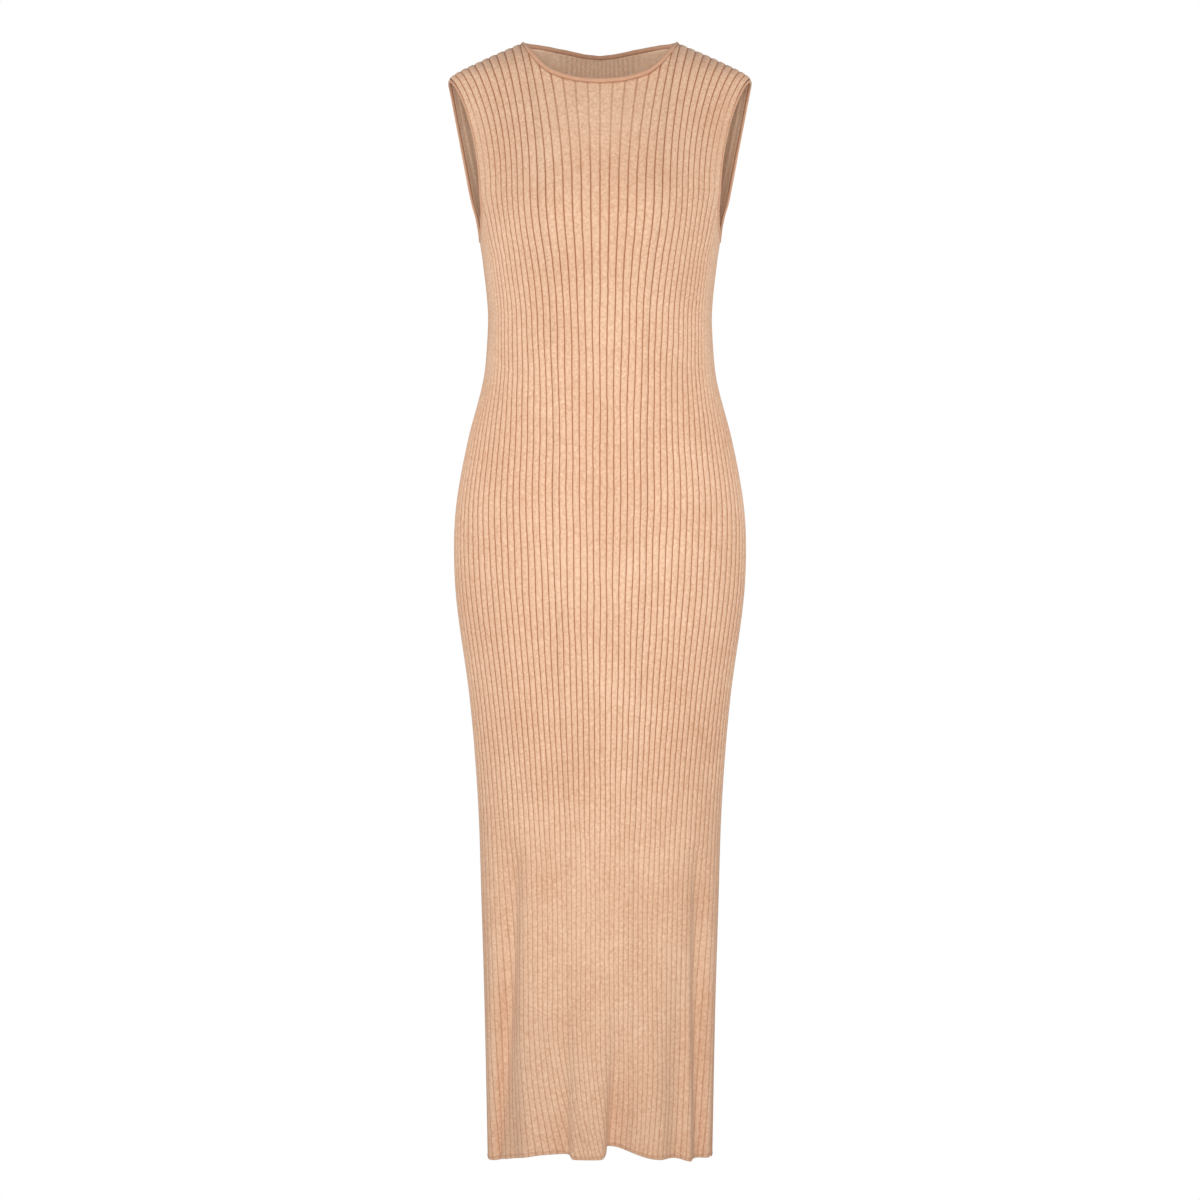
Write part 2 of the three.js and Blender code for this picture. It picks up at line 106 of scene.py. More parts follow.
# Level sections of the filled-out dress: height, half width, depth forward, depth back, squareness
# of the outline (2 is an ellipse), and how much wider the middle ribs lie in front and behind.
SECTIONS: Rows = (
    (-5, 93, 54, 52, 2.0, 0.3, 0.0),
    (-25, 139, 60, 58, 2.0, 0.3, 0.0),
    (-44, 175, 65, 64, 2.0, 0.3, 0.0),
    (-60, 176.5, 70, 69, 2.0, 0.3, 0.0),
    (-90, 167, 82, 79, 2.02, 0.3, 0.0),
    (-130, 156, 96, 89, 2.05, 0.3, 0.0),
    (-178, 147.5, 106, 94, 2.1, 0.3, 0.0),
    (-208, 142, 109, 93, 2.15, 0.3, 0.0),
    (-234, 138.5, 107, 91, 2.15, 0.3, 0.0),
    (-257, 135, 103, 88, 2.15, 0.29, 0.02),
    (-312, 129.2, 93, 80, 2.1, 0.29, 0.14),
    (-347, 129.8, 91, 79, 2.1, 0.27, 0.17),
    (-394, 134.5, 92, 86, 2.1, 0.19, 0.13),
    (-463, 152.2, 94, 104, 2.1, 0.05, 0.03),
    (-533, 165.2, 93, 114, 2.15, 0.0, 0.0),
    (-585, 168.6, 91, 116, 2.15, -0.04, -0.04),
    (-649, 165.8, 86, 108, 2.1, -0.04, -0.04),
    (-765, 150.2, 74, 86, 2.05, -0.02, -0.02),
    (-882, 140.8, 66, 70, 2.0, -0.06, -0.06),
    (-998, 136.8, 62, 63, 2.0, -0.1, -0.1),
    (-1114, 133.4, 60, 61, 2.0, -0.07, -0.07),
    (-1289, 129.8, 62, 60, 2.0, 0.0, 0.0),
)
# Height, and how much further round the arm the back reaches than the front does.
BACK_WIDENING: Rows = (
    (-44, 0),
    (-70, 13),
    (-110, 27),
    (-150, 24),
    (-184, 14),
    (-210, 7),
    (-234, 0),
)


class Side(Enum):
    """The two panels, by the sign of Y that each one faces."""

    FRONT = -1
    BACK = 1


class Face(Enum):
    """The two faces of the knit, by where its valleys lie within a rib."""

    OUTSIDE = "outside"
    INSIDE = "inside"


def linear_colour(code: str) -> tuple[float, float, float, float]:
    """Turn an sRGB colour into the linear values that a shader takes.

    Args:
        code: six hex digits after a hash.

    Returns:
        Linear red, green, blue and an alpha of one.
    """
    parts = np.array([int(code[i : i + 2], 16) for i in (1, 3, 5)]) / 255
    low, high = parts / 12.92, ((parts + 0.055) / 1.055) ** 2.4
    return (*np.where(parts <= 0.04045, low, high).tolist(), 1.0)


def bell(offset: Array | float, width: Array | float, power: float = 2.0) -> Array:
    """A bell of height one: e to the minus of the offset over the width, raised to the power."""
    return np.exp(-(np.abs(offset / width) ** power))


def ease(value: Array, low: float, high: float) -> Array:
    """A step from 0 at low to 1 at high, on the curve 3 t squared minus 2 t cubed."""
    t = np.clip((value - low) / (high - low), 0, 1)
    return t * t * (3 - 2 * t)


def unit(vectors: Array) -> Array:
    """The same directions with a length of one."""
    return vectors / np.maximum(np.linalg.norm(vectors, axis=-1, keepdims=True), 1e-9)


@dataclass(frozen=True)
class SmoothCurve:
    """A value that runs smoothly through the values given at some places."""

    places: tuple[float, ...]
    values: tuple[float, ...]

    @classmethod
    def columns(cls, rows: Rows) -> list["SmoothCurve"]:
        """One curve for each later column of a table, along its first column."""
        places, *others = zip(*rows)
        return [cls(places, values) for values in others]

    def at(self, place: Array | float) -> Array:
        """Read the curve.

        Between two places it is the cubic whose slope at either end is the rise from the place
        before that end to the place after it.

        Args:
            place: where to read it; past the ends it keeps its end value.

        Returns:
            The values there.
        """
        x, y = np.array(self.places, float), np.array(self.values, float)
        if x[0] > x[-1]:
            x, y = x[::-1], y[::-1]
        wide_x, wide_y = (np.pad(line, 1, mode="edge") for line in (x, y))
        slope = (wide_y[2:] - wide_y[:-2]) / (wide_x[2:] - wide_x[:-2])
        i = np.clip(np.searchsorted(x, place) - 1, 0, len(x) - 2)
        step = x[i + 1] - x[i]
        t = np.clip((place - x[i]) / step, 0, 1)
        t2, t3 = t * t, t * t * t
        return (
            (2 * t3 - 3 * t2 + 1) * y[i]
            + (t3 - 2 * t2 + t) * step * slope[i]
            + (3 * t2 - 2 * t3) * y[i + 1]
            + (t3 - t2) * step * slope[i + 1]
        )


@dataclass(frozen=True)
class Fullness:
    """A soft swelling on both sides of the centre line."""

    x: float
    z: float
    wide: float
    tall: float
    out: float


@dataclass(frozen=True)
class Fold:
    """A fold that hangs into the skirt and deepens down to the hem."""

    x: float
    left: float
    right: float
    deep: float
    lean: float
    start: float
    late: float
    up: float  # how far it pulls the hem up
    power: float = 2.5  # how flat its bottom is


@dataclass(frozen=True)
class Ripple:
    """A place near the hem where the cloth sinks or swings across."""

    x: float
    wide: float
    by: float


HEM_DROPS = (Ripple(-128, 34, 9), Ripple(118, 42, 7))


@dataclass(frozen=True)
class Crease:
    """A soft trough, or a ridge where deep is negative, along a line seen from in front."""

    top: tuple[float, float]
    bottom: tuple[float, float]
    wide: float
    deep: float


@dataclass(frozen=True)
class RibFading:
    """Where the ribs show less, and how much of their strength they lose there."""

    skirt: float = 0.6  # towards the hem
    skirt_down: Range = (780, 1010)  # from the level of the origin
    bust: float = 1.0  # at its sides
    bust_ribs: Range = (7.2, 10.4)  # from the side seam
    bust_z: float = -297
    bust_tall: float = 122
    neck: float = 0.72  # below it
    neck_z: float = -88
    neck_wide: float = 60
    neck_tall: float = 66
    armhole: float = 0.8  # beside it
    armhole_ribs: Range = (0.3, 3.0)  # from the column of the shoulder's tip
    armhole_top: Range = (60, 95)
    armhole_end: Range = (185, 215)


@dataclass(frozen=True)
class PanelCut:
    """How one panel is cut, how its ribs run and how it hangs."""

    side: Side
    neck_ribs: int  # ribs from the centre to the neck's corner
    tip_ribs: int  # and to the shoulder's tip
    neckline: Rows  # rib from the centre, x and z
    yoke: Rows  # rib from the centre, x at the yoke level, how early and how soon it swings in
    fullness: tuple[Fullness, ...]
    folds: tuple[Fold, ...]
    swings: tuple[Ripple, ...]
    creases: tuple[Crease, ...]
    fading: RibFading = RibFading()


FRONT_CUT = PanelCut(
    side=Side.FRONT,
    neck_ribs=7,
    tip_ribs=17,
    neckline=(
        (0, 0, -59.6),
        (2, 28.8, -56.8),
        (4, 56.4, -47.4),
        (5, 69.6, -36.8),
        (6, 82.1, -20.9),
        (6.5, 87.9, -12.4),
        (7, 93, -5),
    ),
    yoke=(
        (0, 0, 1.5, 1),
        (4, 41.5, 1.7, 1),
        (8, 79, 1.9, 1),
        (12, 106, 2.2, 1),
        (17, 136.3, 1.75, 0.75),
    ),
    fullness=(Fullness(68, -212, 54, 62, 13),),
    folds=(
        Fold(-110, 12, 15, 12, 0, -880, 1, 0),
        Fold(-48, 40, 10, 11, 4, -1060, 1.5, 4),
        Fold(23, 13, 25, 31, -10, -1040, 2.2, 11),
        Fold(89, 14, 11, 7, 0, -1000, 1.2, 2),
        Fold(119, 9, 9, 10, 0, -900, 1, 0),
    ),
    swings=(Ripple(-62, 44, 16), Ripple(42, 24, 5)),
    creases=(
        Crease((-30, -905), (-62, -1130), 16, 1.4),
        Crease((-96, -930), (-134, -1540), 9, 11),
        Crease((111, -930), (121, -1540), 8, 9),
        Crease((-33, -1070), (-47, -1500), 9, 4),
        Crease((92, -1070), (84, -1500), 9, 3.5),
        Crease((58, -985), (72, -1210), 15, 1.1),
        Crease((4, -860), (-20, -1010), 18, -0.9),
        Crease((-118, -205), (-92, -262), 9, 0.7),
        Crease((118, -208), (94, -258), 8, 0.6),
        Crease((-122, -372), (-84, -402), 9, 0.5),
        Crease((124, -366), (90, -392), 9, 0.5),
    ),
)
BACK_CUT = PanelCut(
    side=Side.BACK,
    neck_ribs=12,
    tip_ribs=22,
    neckline=(
        (0, 0, -12.4),
        (4, 19, -10.6),
        (8, 42, -6.6),
        (10.5, 67, -3.8),
        (11.4, 81, -3.6),
        (12, 93, -5),
    ),
    yoke=((0, 0, 1.3, 1), (8, 50, 1.2, 1), (15, 98, 1.1, 1), (22, 149, 1, 1)),
    fullness=(Fullness(64, -150, 60, 75, 6), Fullness(60, -585, 62, 78, 6)),
    folds=(
        Fold(-84, 22, 16, 10, 0, -960, 1.3, 0),
        Fold(-18, 20, 26, 22, 5, -1000, 1.8, 6),
        Fold(62, 18, 20, 12, 0, -1040, 1.5, 2),
    ),
    swings=(Ripple(24, 40, -8),),
    creases=(
        Crease((-86, -322), (-22, -352), 11, 2.6),
        Crease((92, -338), (36, -360), 10, 2.3),
        Crease((-70, -352), (-8, -374), 8, 1.7),
        Crease((-40, -720), (-62, -905), 18, 2.6),
        Crease((52, -745), (70, -980), 16, 2.4),
        Crease((-106, -210), (-74, -268), 10, 1.8),
        Crease((104, -214), (76, -262), 9, 1.6),
    ),
    fading=RibFading(bust=0.35, neck=0, armhole=0),
)


def face_crosses(points: Array, there: Array) -> Array:
    """The cross product of each face's diagonals, or zero where the cloth doesn't reach.

    Args:
        points: a grid of points.
        there: whether the cloth reaches each.

    Returns:
        One vector for each face, twice as long as its area.
    """
    across = points[:-1, 1:] - points[1:, :-1]
    falling = points[1:, 1:] - points[:-1, :-1]
    whole = there[:-1, 1:] & there[1:, :-1] & there[1:, 1:] & there[:-1, :-1]
    return np.cross(across, falling) * whole[..., None]


@dataclass
class ClothGrid:
    """A panel's surface at the bottom of its grooves, as a grid of points from top edge to hem."""

    points: Array  # rows, columns, 3
    there: Array  # rows, columns: whether the cloth reaches this place
    normals: Array
    down: Array  # rows, columns: length of cloth from the level of the origin

    @classmethod
    def from_points(cls, points: Array, there: Array, side: Side) -> "ClothGrid":
        """Work out which way the cloth faces and how long it is.

        A point's normal is the sum of the cross products of the diagonals of the faces around it.

        Args:
            points: the grid's points.
            there: whether the cloth reaches each.
            side: which panel it is.

        Returns:
            The grid.
        """
        held = np.where(there[..., None], points, 0.0)
        facing = face_crosses(held, there) * side.value
        total = np.zeros_like(held)
        for rows in (slice(None, -1), slice(1, None)):
            for columns in (slice(None, -1), slice(1, None)):
                total[rows, columns] += facing
        steps = np.linalg.norm(np.diff(held, axis=0), axis=-1)
        steps[~(there[1:] & there[:-1])] = 0
        first = np.argmax(there, axis=0)
        top = -held[first, np.arange(held.shape[1]), 2]
        down = top + np.concatenate([np.zeros((1, held.shape[1])), np.cumsum(steps, axis=0)])
        return cls(held, there, unit(total), down)

    def area(self) -> float:
        """The cloth's area in square metres."""
        doubled = np.linalg.norm(face_crosses(self.points, self.there), axis=-1).sum()
        return float(doubled / 2 * METRES**2)

    def size(self) -> tuple[float, float]:
        """The length of its longest level row below the armholes and of its middle, in metres."""
        steps = np.linalg.norm(np.diff(self.points[YOKE_ROWS + SCOOP_ROWS :], axis=1), axis=-1)
        return float(steps.sum(axis=1).max() * METRES), float(self.down[-1, MIDDLE] * METRES)


@dataclass
class KnitPanel:
    """One panel of the dress: a thin ribbed shell, open at its top edge, armholes and hem."""

    name: str
    cut: PanelCut
    wobble: float = 0.7  # how far a groove strays from its line
    seed: int = 7
    half: SmoothCurve = field(init=False)
    square: SmoothCurve = field(init=False)
    depth: SmoothCurve = field(init=False)
    spread: SmoothCurve = field(init=False)

    def __post_init__(self) -> None:
        """Take this panel's curves from the sections."""
        self.half, ahead, behind, self.square, *spreads = SmoothCurve.columns(SECTIONS)
        front = self.cut.side is Side.FRONT
        self.depth, self.spread = (ahead, spreads[0]) if front else (behind, spreads[1])

    def half_width(self, z: Array) -> Array:
        """The half width of the level section at each height.

        Args:
            z: the heights.

        Returns:
            The half widths.
        """
        half = self.half.at(z)
        if self.cut.side is Side.BACK:
            wider = SmoothCurve.columns(BACK_WIDENING)[0].at(z)
            half = half + np.where((z < TIP_Z) & (z > UNDERARM_Z), wider, 0)
        return half

    def surface(self, x: Array, z: Array) -> Array:
        """The panel's surface without its folds.

        The depth is the section's depth times (1 - share^n)^(1/n), where share is the place across
        over the half width and n the squareness, and each fullness adds a bell across times a
        bell along, times 1 - share^4.

        Args:
            x: places across.
            z: heights, of the same shape.

        Returns:
            The points.
        """
        share = np.minimum(1, np.abs(x) / self.half_width(z))
        square = self.square.at(z)
        out = self.depth.at(z) * (1 - share**square) ** (1 / square)
        for full in self.cut.fullness:
            both = bell(x - full.x, full.wide) + bell(x + full.x, full.wide)
            out = out + full.out * (1 - share**4) * both * bell(z - full.z, full.tall)
        return np.stack([x, self.cut.side.value * out, z], axis=-1)

    def outlines(self, z: Array) -> tuple[Array, Array]:
        """The panel's level outlines with their folds.

        A fold moves the outline inwards, a little along itself and up, by a flat-bottomed bell
        across times the share of the way from the fold's start to the hem, raised to a power.

        Args:
            z: the heights.

        Returns:
            The closely spaced points of each outline, and their lengths along it.
        """
        turn = (np.arange(OUTLINE_SAMPLES + 1) / OUTLINE_SAMPLES - 0.5) * math.pi
        x = self.half_width(z)[:, None] * np.sin(turn)
        level = np.broadcast_to(z[:, None], x.shape)
        plain = self.surface(x, level)
        wide = np.pad(plain, ((0, 0), (1, 1), (0, 0)), mode="edge")
        along = unit(wide[:, 2:] - wide[:, :-2])
        side = self.cut.side.value
        inwards = np.stack([along[..., 1], -along[..., 0], np.zeros_like(x)], axis=-1) * side
        points = plain.copy()
        for fold in self.cut.folds:
            grown = np.maximum(0, fold.start - level) / (fold.start - HEM_Z)
            width = np.where(x < fold.x, fold.left, fold.right)
            share = (grown**fold.late * bell(x - fold.x, width, fold.power))[..., None]
            points += share * (fold.deep * inwards + fold.lean * along)
            points[..., 2:] += share * fold.up
        steps = np.linalg.norm(np.diff(points, axis=1), axis=-1)
        lengths = np.concatenate([np.zeros((len(z), 1)), np.cumsum(steps, axis=1)], axis=1)
        return points, lengths

    def along_outlines(self, z: Array, shares: Array) -> Array:
        """Points at shares of the outlines' lengths.

        Args:
            z: the heights, one for each row of shares.
            shares: rows of shares from the left end, 0, to the right end, 1.

        Returns:
            The points, a row of them for each height.
        """
        points, lengths = self.outlines(z)
        apart = 2.0 * np.arange(len(z))[:, None]
        known = (lengths / lengths[:, -1:] + apart).ravel()
        wanted = np.clip(shares, 0, 1) + apart
        return np.stack(
            [np.interp(wanted, known, points[..., axis].ravel()) for axis in range(3)], axis=-1
        )

    def ribs(self) -> Array:
        """The count of ribs from the left side seam at each column of the mesh."""
        return np.append((np.arange(RIBS)[:, None] + np.array(COLUMN_OFFSETS)).ravel(), RIBS)

    def from_centre(self) -> tuple[Array, Array]:
        """How many ribs each column is from the centre line, and on which side, -1 or 1."""
        signed = self.ribs() - RIBS / 2
        return np.abs(signed), np.where(signed < 0, -1.0, 1.0)

    def tube_share(self, z: Array) -> Array:
        """The share of its outline at which each column lies on the tube.

        It is even across, plus the section's spread times the sine of a full turn over a turn.

        Args:
            z: the heights.

        Returns:
            The shares, a row of them for each height.
        """
        across = self.ribs() / RIBS * 2 - 1
        spread = self.spread.at(z)[:, None]
        return (1 + across + spread * np.sin(math.pi * across) / math.pi) / 2

    def waver(self, z: Array) -> Array:
        """How far each groove strays across: a few slow waves that shift from rib to rib.

        Args:
            z: the heights.

        Returns:
            The distances, a row of them for each height.
        """
        rng = np.random.default_rng(self.seed)
        stray = np.zeros((len(z), len(self.ribs())))
        waves = (43.0, 71.0, 118.0, 210.0)
        for wave in waves:
            phase, shift = rng.uniform(0, 2 * math.pi), rng.uniform(0.25, 0.9)
            turned = 2 * math.pi * z[:, None] / wave + phase + shift * self.ribs()
            stray += np.sin(turned) * wave / waves[-1]
        return self.wobble * stray / 2

    def top_edge(self, rib: Array) -> tuple[Array, Array]:
        """Where the ribs meet the neckline or the shoulder seam, on one side.

        Args:
            rib: ribs from the centre line.

        Returns:
            Their places across and their heights.
        """
        neck, tip = self.cut.neck_ribs, self.cut.tip_ribs
        neck_x, neck_z = SmoothCurve.columns(self.cut.neckline)
        share = np.clip((rib - neck) / (tip - neck), 0, 1)
        seam_z = NECK_CORNER_Z + (TIP_Z - NECK_CORNER_Z) * share
        x = np.where(rib <= neck, neck_x.at(rib), self.half.at(seam_z))
        return x, np.where(rib <= neck, neck_z.at(rib), seam_z)

    def yoke_points(self, target: Array, early: Array, soon: Array) -> Array:
        """The rows from the top edge down to the yoke level.

        A rib falls evenly in height and swings in from its top to its place at the yoke by
        1 - (1 - t^soon)^early, where t is the share of the way down.

        Args:
            target: each column's place across at the yoke, with its sign.
            early: how early each swings in.
            soon: how soon each does, where 1 is evenly.

        Returns:
            The points.
        """
        apart, mirror = self.from_centre()
        top_x, top_z = self.top_edge(np.minimum(apart, self.cut.tip_ribs))
        t = ((np.arange(YOKE_ROWS) / YOKE_ROWS) ** YOKE_CROWDING)[:, None]
        x = top_x + (np.abs(target) - top_x) * (1 - (1 - t**soon) ** early)
        return self.surface(mirror * x, top_z + (YOKE_Z - top_z) * t)

    def tube_points(self, z: Array) -> Array:
        """The rows of the closed tube, which swing and sink near the hem.

        Args:
            z: the heights.

        Returns:
            The points.
        """
        _, lengths = self.outlines(z)
        length = lengths[:, -1:]
        share = self.tube_share(z)
        along = (share - 0.5) * length
        late = ((np.maximum(0, HEM_START - z) / (HEM_START - HEM_Z)) ** HEM_POWER)[:, None]
        edge = 4 * share * (1 - share)
        stray = self.waver(z) * edge * ease(TUBE_Z - z, 0, WAVER_START)[:, None]
        for swing in self.cut.swings:
            stray = stray + swing.by * late * bell(along - swing.x, swing.wide)
        points = self.along_outlines(z, share + stray / length)
        for drop in HEM_DROPS:
            points[..., 2] -= drop.by * late * bell(points[..., 0] - drop.x, drop.wide)
        return points

    def grid(self) -> ClothGrid:
        """Lay the panel's grid: the yoke, the rows under the armhole scoops, and the tube.

        On a scoop the edge falls as the sine of a quarter turn while its share of the outline
        goes out to the seam as the cosine.

        Returns:
            The grid, with its creases.
        """
        apart, mirror = self.from_centre()
        tip = self.cut.tip_ribs
        place, early, soon = SmoothCurve.columns(self.cut.yoke)
        rib = np.minimum(apart, tip)
        target = mirror * place.at(rib)
        outline, lengths = self.outlines(np.array([YOKE_Z]))
        yoke_share = np.interp(target, outline[0, :, 0], lengths[0]) / lengths[0, -1]
        angle = np.clip((apart - tip) / (RIBS / 2 - tip), 0, 1) * math.pi / 2
        edge_z = YOKE_Z + (UNDERARM_Z - YOKE_Z) * np.sin(angle)
        end = (mirror + 1) / 2
        edge_share = end + (yoke_share - end) * np.cos(angle)
        t = (np.arange(SCOOP_ROWS) / SCOOP_ROWS)[:, None]
        scoop_z = edge_z + (TUBE_Z - edge_z) * t
        scoop_share = edge_share + (self.tube_share(np.array([TUBE_Z])) - edge_share) * t
        scoop = self.along_outlines(scoop_z.ravel(), scoop_share.reshape(-1, 1))
        tube = np.linspace(TUBE_Z, HEM_Z + LAST_TUBE_ROW, TUBE_ROWS)
        fall = np.concatenate([tube, HEM_Z + np.array(HEM_ROWS)])
        points = np.concatenate(
            [
                self.yoke_points(target, early.at(rib), soon.at(rib)),
                scoop.reshape(SCOOP_ROWS, -1, 3),
                self.tube_points(fall),
            ]
        )
        there = np.ones(points.shape[:2], bool)
        there[:YOKE_ROWS, apart > tip] = False
        grid = ClothGrid.from_points(points, there, self.cut.side)
        creased = grid.points - grid.normals * self.crease_depth(grid)[..., None]
        return ClothGrid.from_points(creased, there, self.cut.side)

    def crease_depth(self, grid: ClothGrid) -> Array:
        """How deep the soft creases are at each point.

        Each is a bell of the distance from its line, times the square root of the sine of half a
        turn along it, and it fades away at the seams.

        Args:
            grid: the panel's grid.

        Returns:
            The depths.
        """
        x, z = grid.points[..., 0], grid.points[..., 2]
        depth = np.zeros_like(x)
        for crease in self.cut.creases:
            start = np.array(crease.top, float)
            line = np.array(crease.bottom, float) - start
            length = np.linalg.norm(line)
            ahead = ((x - start[0]) * line[0] + (z - start[1]) * line[1]) / length
            aside = ((x - start[0]) * line[1] - (z - start[1]) * line[0]) / length
            swell = np.sqrt(np.sin(math.pi * np.clip(ahead / length, 0, 1)))
            depth += crease.deep * swell * bell(aside, crease.wide)
        return depth * ease(1 - np.abs(x) / self.half_width(z), 0.0, CREASE_FADE)

    def rib_depth(self, grid: ClothGrid) -> Array:
        """How strongly the ribs show at each point, from 0 to 1.

        They are stretched flat below the front of the neck and at the sides of the bust, faint
        beside the armholes and softer towards the hem.

        Args:
            grid: the panel's grid.

        Returns:
            The strengths.
        """
        x, z = grid.points[..., 0], grid.points[..., 2]
        fade, apart = self.cut.fading, self.from_centre()[0]
        by_seam = 1 - ease(RIBS / 2 - apart, *fade.bust_ribs)
        beside_bust = by_seam * bell(z - fade.bust_z, fade.bust_tall, 5)
        below_neck = bell(x, fade.neck_wide, 3) * bell(z - fade.neck_z, fade.neck_tall, 3)
        by_armhole = 1 - ease(self.cut.tip_ribs - apart, *fade.armhole_ribs)
        reach = ease(-z, *fade.armhole_top) * (1 - ease(-z, *fade.armhole_end))
        shown = 1 - fade.skirt * ease(-z, *fade.skirt_down) - fade.neck * below_neck
        shown = shown * (1 - fade.bust * beside_bust) * (1 - fade.armhole * by_armhole * reach)
        return np.clip(shown, 0, 1)

    def inner_depth(self, grid: ClothGrid) -> Array:
        """How strongly the ribs show inside, where they fade beside the middle of the back neck.

        Args:
            grid: the panel's grid.

        Returns:
            The strengths.
        """
        x, z = np.abs(grid.points[..., 0]), grid.points[..., 2]
        shown = self.rib_depth(grid)
        if self.cut.side is Side.BACK:
            smooth = ease(x, *SMOOTH_NEAR) * (1 - ease(x, *SMOOTH_FAR)) * ease(z, *SMOOTH_Z)
            shown = shown * (1 - smooth)
        return INNER_SHARE * shown

    def seam_dip(self, grid: ClothGrid) -> Array:
        """How far the outside sinks towards the seams that join the panels, as a narrow bell.

        Args:
            grid: the panel's grid.

        Returns:
            The depths.
        """
        ribs = self.ribs()
        from_side = np.minimum(ribs, RIBS - ribs) * RIB_PITCH * np.ones_like(grid.down)
        from_side[:YOKE_ROWS] = np.inf
        on_shoulder = self.from_centre()[0] >= self.cut.neck_ribs
        from_top = np.where(on_shoulder, grid.down - grid.down[0], np.inf)
        return SIDE_DIP * bell(from_side, SIDE_DIP_WIDE) + TOP_DIP * bell(from_top, TOP_DIP_WIDE)

    def shell(self, grid: ClothGrid) -> tuple[Array, Array]:
        """The outer and inner points of the cloth.

        A rib's height is its strength times 1 - e^-(d / GROOVE)^2, where d is the distance to the
        nearest groove in ribs. Inside, a narrow ridge e^-(d / RIDGE)^2 runs behind each groove.
        At the hem, by a bell of the distance from it, the outside draws in by HEM_OUTER and half
        of what it stands over HEM_FLAT, and the inside by HEM_INNER. A slight bead lies above.

        Args:
            grid: the panel's grid.

        Returns:
            The outer and the inner points.
        """
        phase = self.ribs() % 1
        groove = np.minimum(phase, 1 - phase)
        ribbed = 1 - self.rib_depth(grid) * bell(groove, GROOVE)
        raised = RIB_HEIGHT * ribbed - self.seam_dip(grid)
        ridge = RIDGE_HIGH * self.inner_depth(grid) * (bell(groove, RIDGE) - RIDGE_FOOT)
        behind = WALL + ridge
        to_hem = grid.down[-1] - grid.down
        edge, bead = bell(to_hem, HEM_SOFT), BEAD * bell(to_hem - BEAD_UP, BEAD_WIDE)
        raised = raised + bead - edge * (HEM_OUTER + 0.5 * (raised - HEM_FLAT))
        behind = behind + 0.5 * bead - edge * HEM_INNER
        return (
            grid.points + grid.normals * raised[..., None],
            grid.points - grid.normals * behind[..., None],
        )

    def faces(self, there: Array) -> tuple[Array, Array]:
        """The faces of both shells and of the rim that joins them along every free edge.

        An edge is free where no face runs along it the other way.

        Args:
            there: whether the cloth reaches each place of the grid.

        Returns:
            Four point numbers for each face, the inner points after the outer ones, and which
            finish each face has.
        """
        number = np.full(there.shape, -1)
        number[there] = np.arange(there.sum())
        count = int(there.sum())
        corners = (number[:-1, :-1], number[:-1, 1:], number[1:, 1:], number[1:, :-1])
        faces = np.stack(corners, axis=-1)
        faces = faces[(faces >= 0).all(axis=-1)]
        if self.cut.side is Side.FRONT:
            faces = faces[:, ::-1]
        starts, ends = faces.ravel(), np.roll(faces, -1, axis=1).ravel()
        free = ~np.isin(starts * count + ends, ends * count + starts)
        a, b = starts[free], ends[free]
        rim = np.stack([b, a, a + count, b + count], axis=-1)
        quads = np.concatenate([faces, faces[:, ::-1] + count, rim])
        return quads, np.repeat([0, 1, 0], [len(faces), len(faces), len(rim)])

    def build(self, grid: ClothGrid, materials: Sequence[Material]) -> Piece:
        """Make the panel's mesh.

        Args:
            grid: the panel's grid.
            materials: the finishes of the outside and the inside.

        Returns:
            The object.
        """
        there = grid.there
        quads, slots = self.faces(there)
        across = np.broadcast_to(self.ribs() * RIB_PITCH, there.shape)
        depths = [self.rib_depth(grid)[there], self.inner_depth(grid)[there]]
        return make_object(
            self.name,
            np.concatenate([points[there] for points in self.shell(grid)]),
            quads,
            materials,
            np.tile(np.stack([across[there], grid.down[there]], axis=-1), (2, 1)),
            {
                "rib_depth": np.concatenate(depths),
                "to_hem": np.tile((grid.down[-1] - grid.down)[there], 2),
                "to_top": np.tile((grid.down - grid.down[0])[there], 2),
            },
            slots,
        )


def make_object(
    name: str,
    points: Array,
    quads: Array,
    materials: Sequence[Material],
    uv: Array,
    attributes: dict[str, Array] | None = None,
    slots: Array | None = None,
) -> Piece:
    """Put arrays into a smooth-shaded mesh at the origin.

    Args:
        name: the piece's name.
        points: its points in millimetres.
        quads: four point numbers for each face.
        materials: its finishes.
        uv: a place on the cloth for each point, in millimetres.
        attributes: further numbers for each point.
        slots: which finish each face has.

    Returns:
        The object.
    """
    mesh = bpy.data.meshes.new(name)
    mesh.vertices.add(len(points))
    mesh.vertices.foreach_set("co", (points * METRES).astype(np.float32).ravel())
    mesh.loops.add(quads.size)
    mesh.loops.foreach_set("vertex_index", quads.astype(np.int32).ravel())
    mesh.polygons.add(len(quads))
    mesh.polygons.foreach_set("loop_start", np.arange(0, quads.size, 4, dtype=np.int32))
    if slots is not None:
        mesh.polygons.foreach_set("material_index", slots.astype(np.int32))
    layer = mesh.uv_layers.new(name="cloth")
    layer.data.foreach_set("uv", uv[quads.ravel()].astype(np.float32).ravel())
    for key, values in (attributes or {}).items():
        stored = mesh.attributes.new(key, "FLOAT", "POINT")
        stored.data.foreach_set("value", values.astype(np.float32))
    for material in materials:
        mesh.materials.append(material)
    mesh.update(calc_edges=True)
    mesh.validate()
    mesh.polygons.foreach_set("use_smooth", np.ones(len(mesh.polygons), bool))
    made = bpy.data.objects.new(name, mesh)
    bpy.context.scene.collection.objects.link(made)
    return made


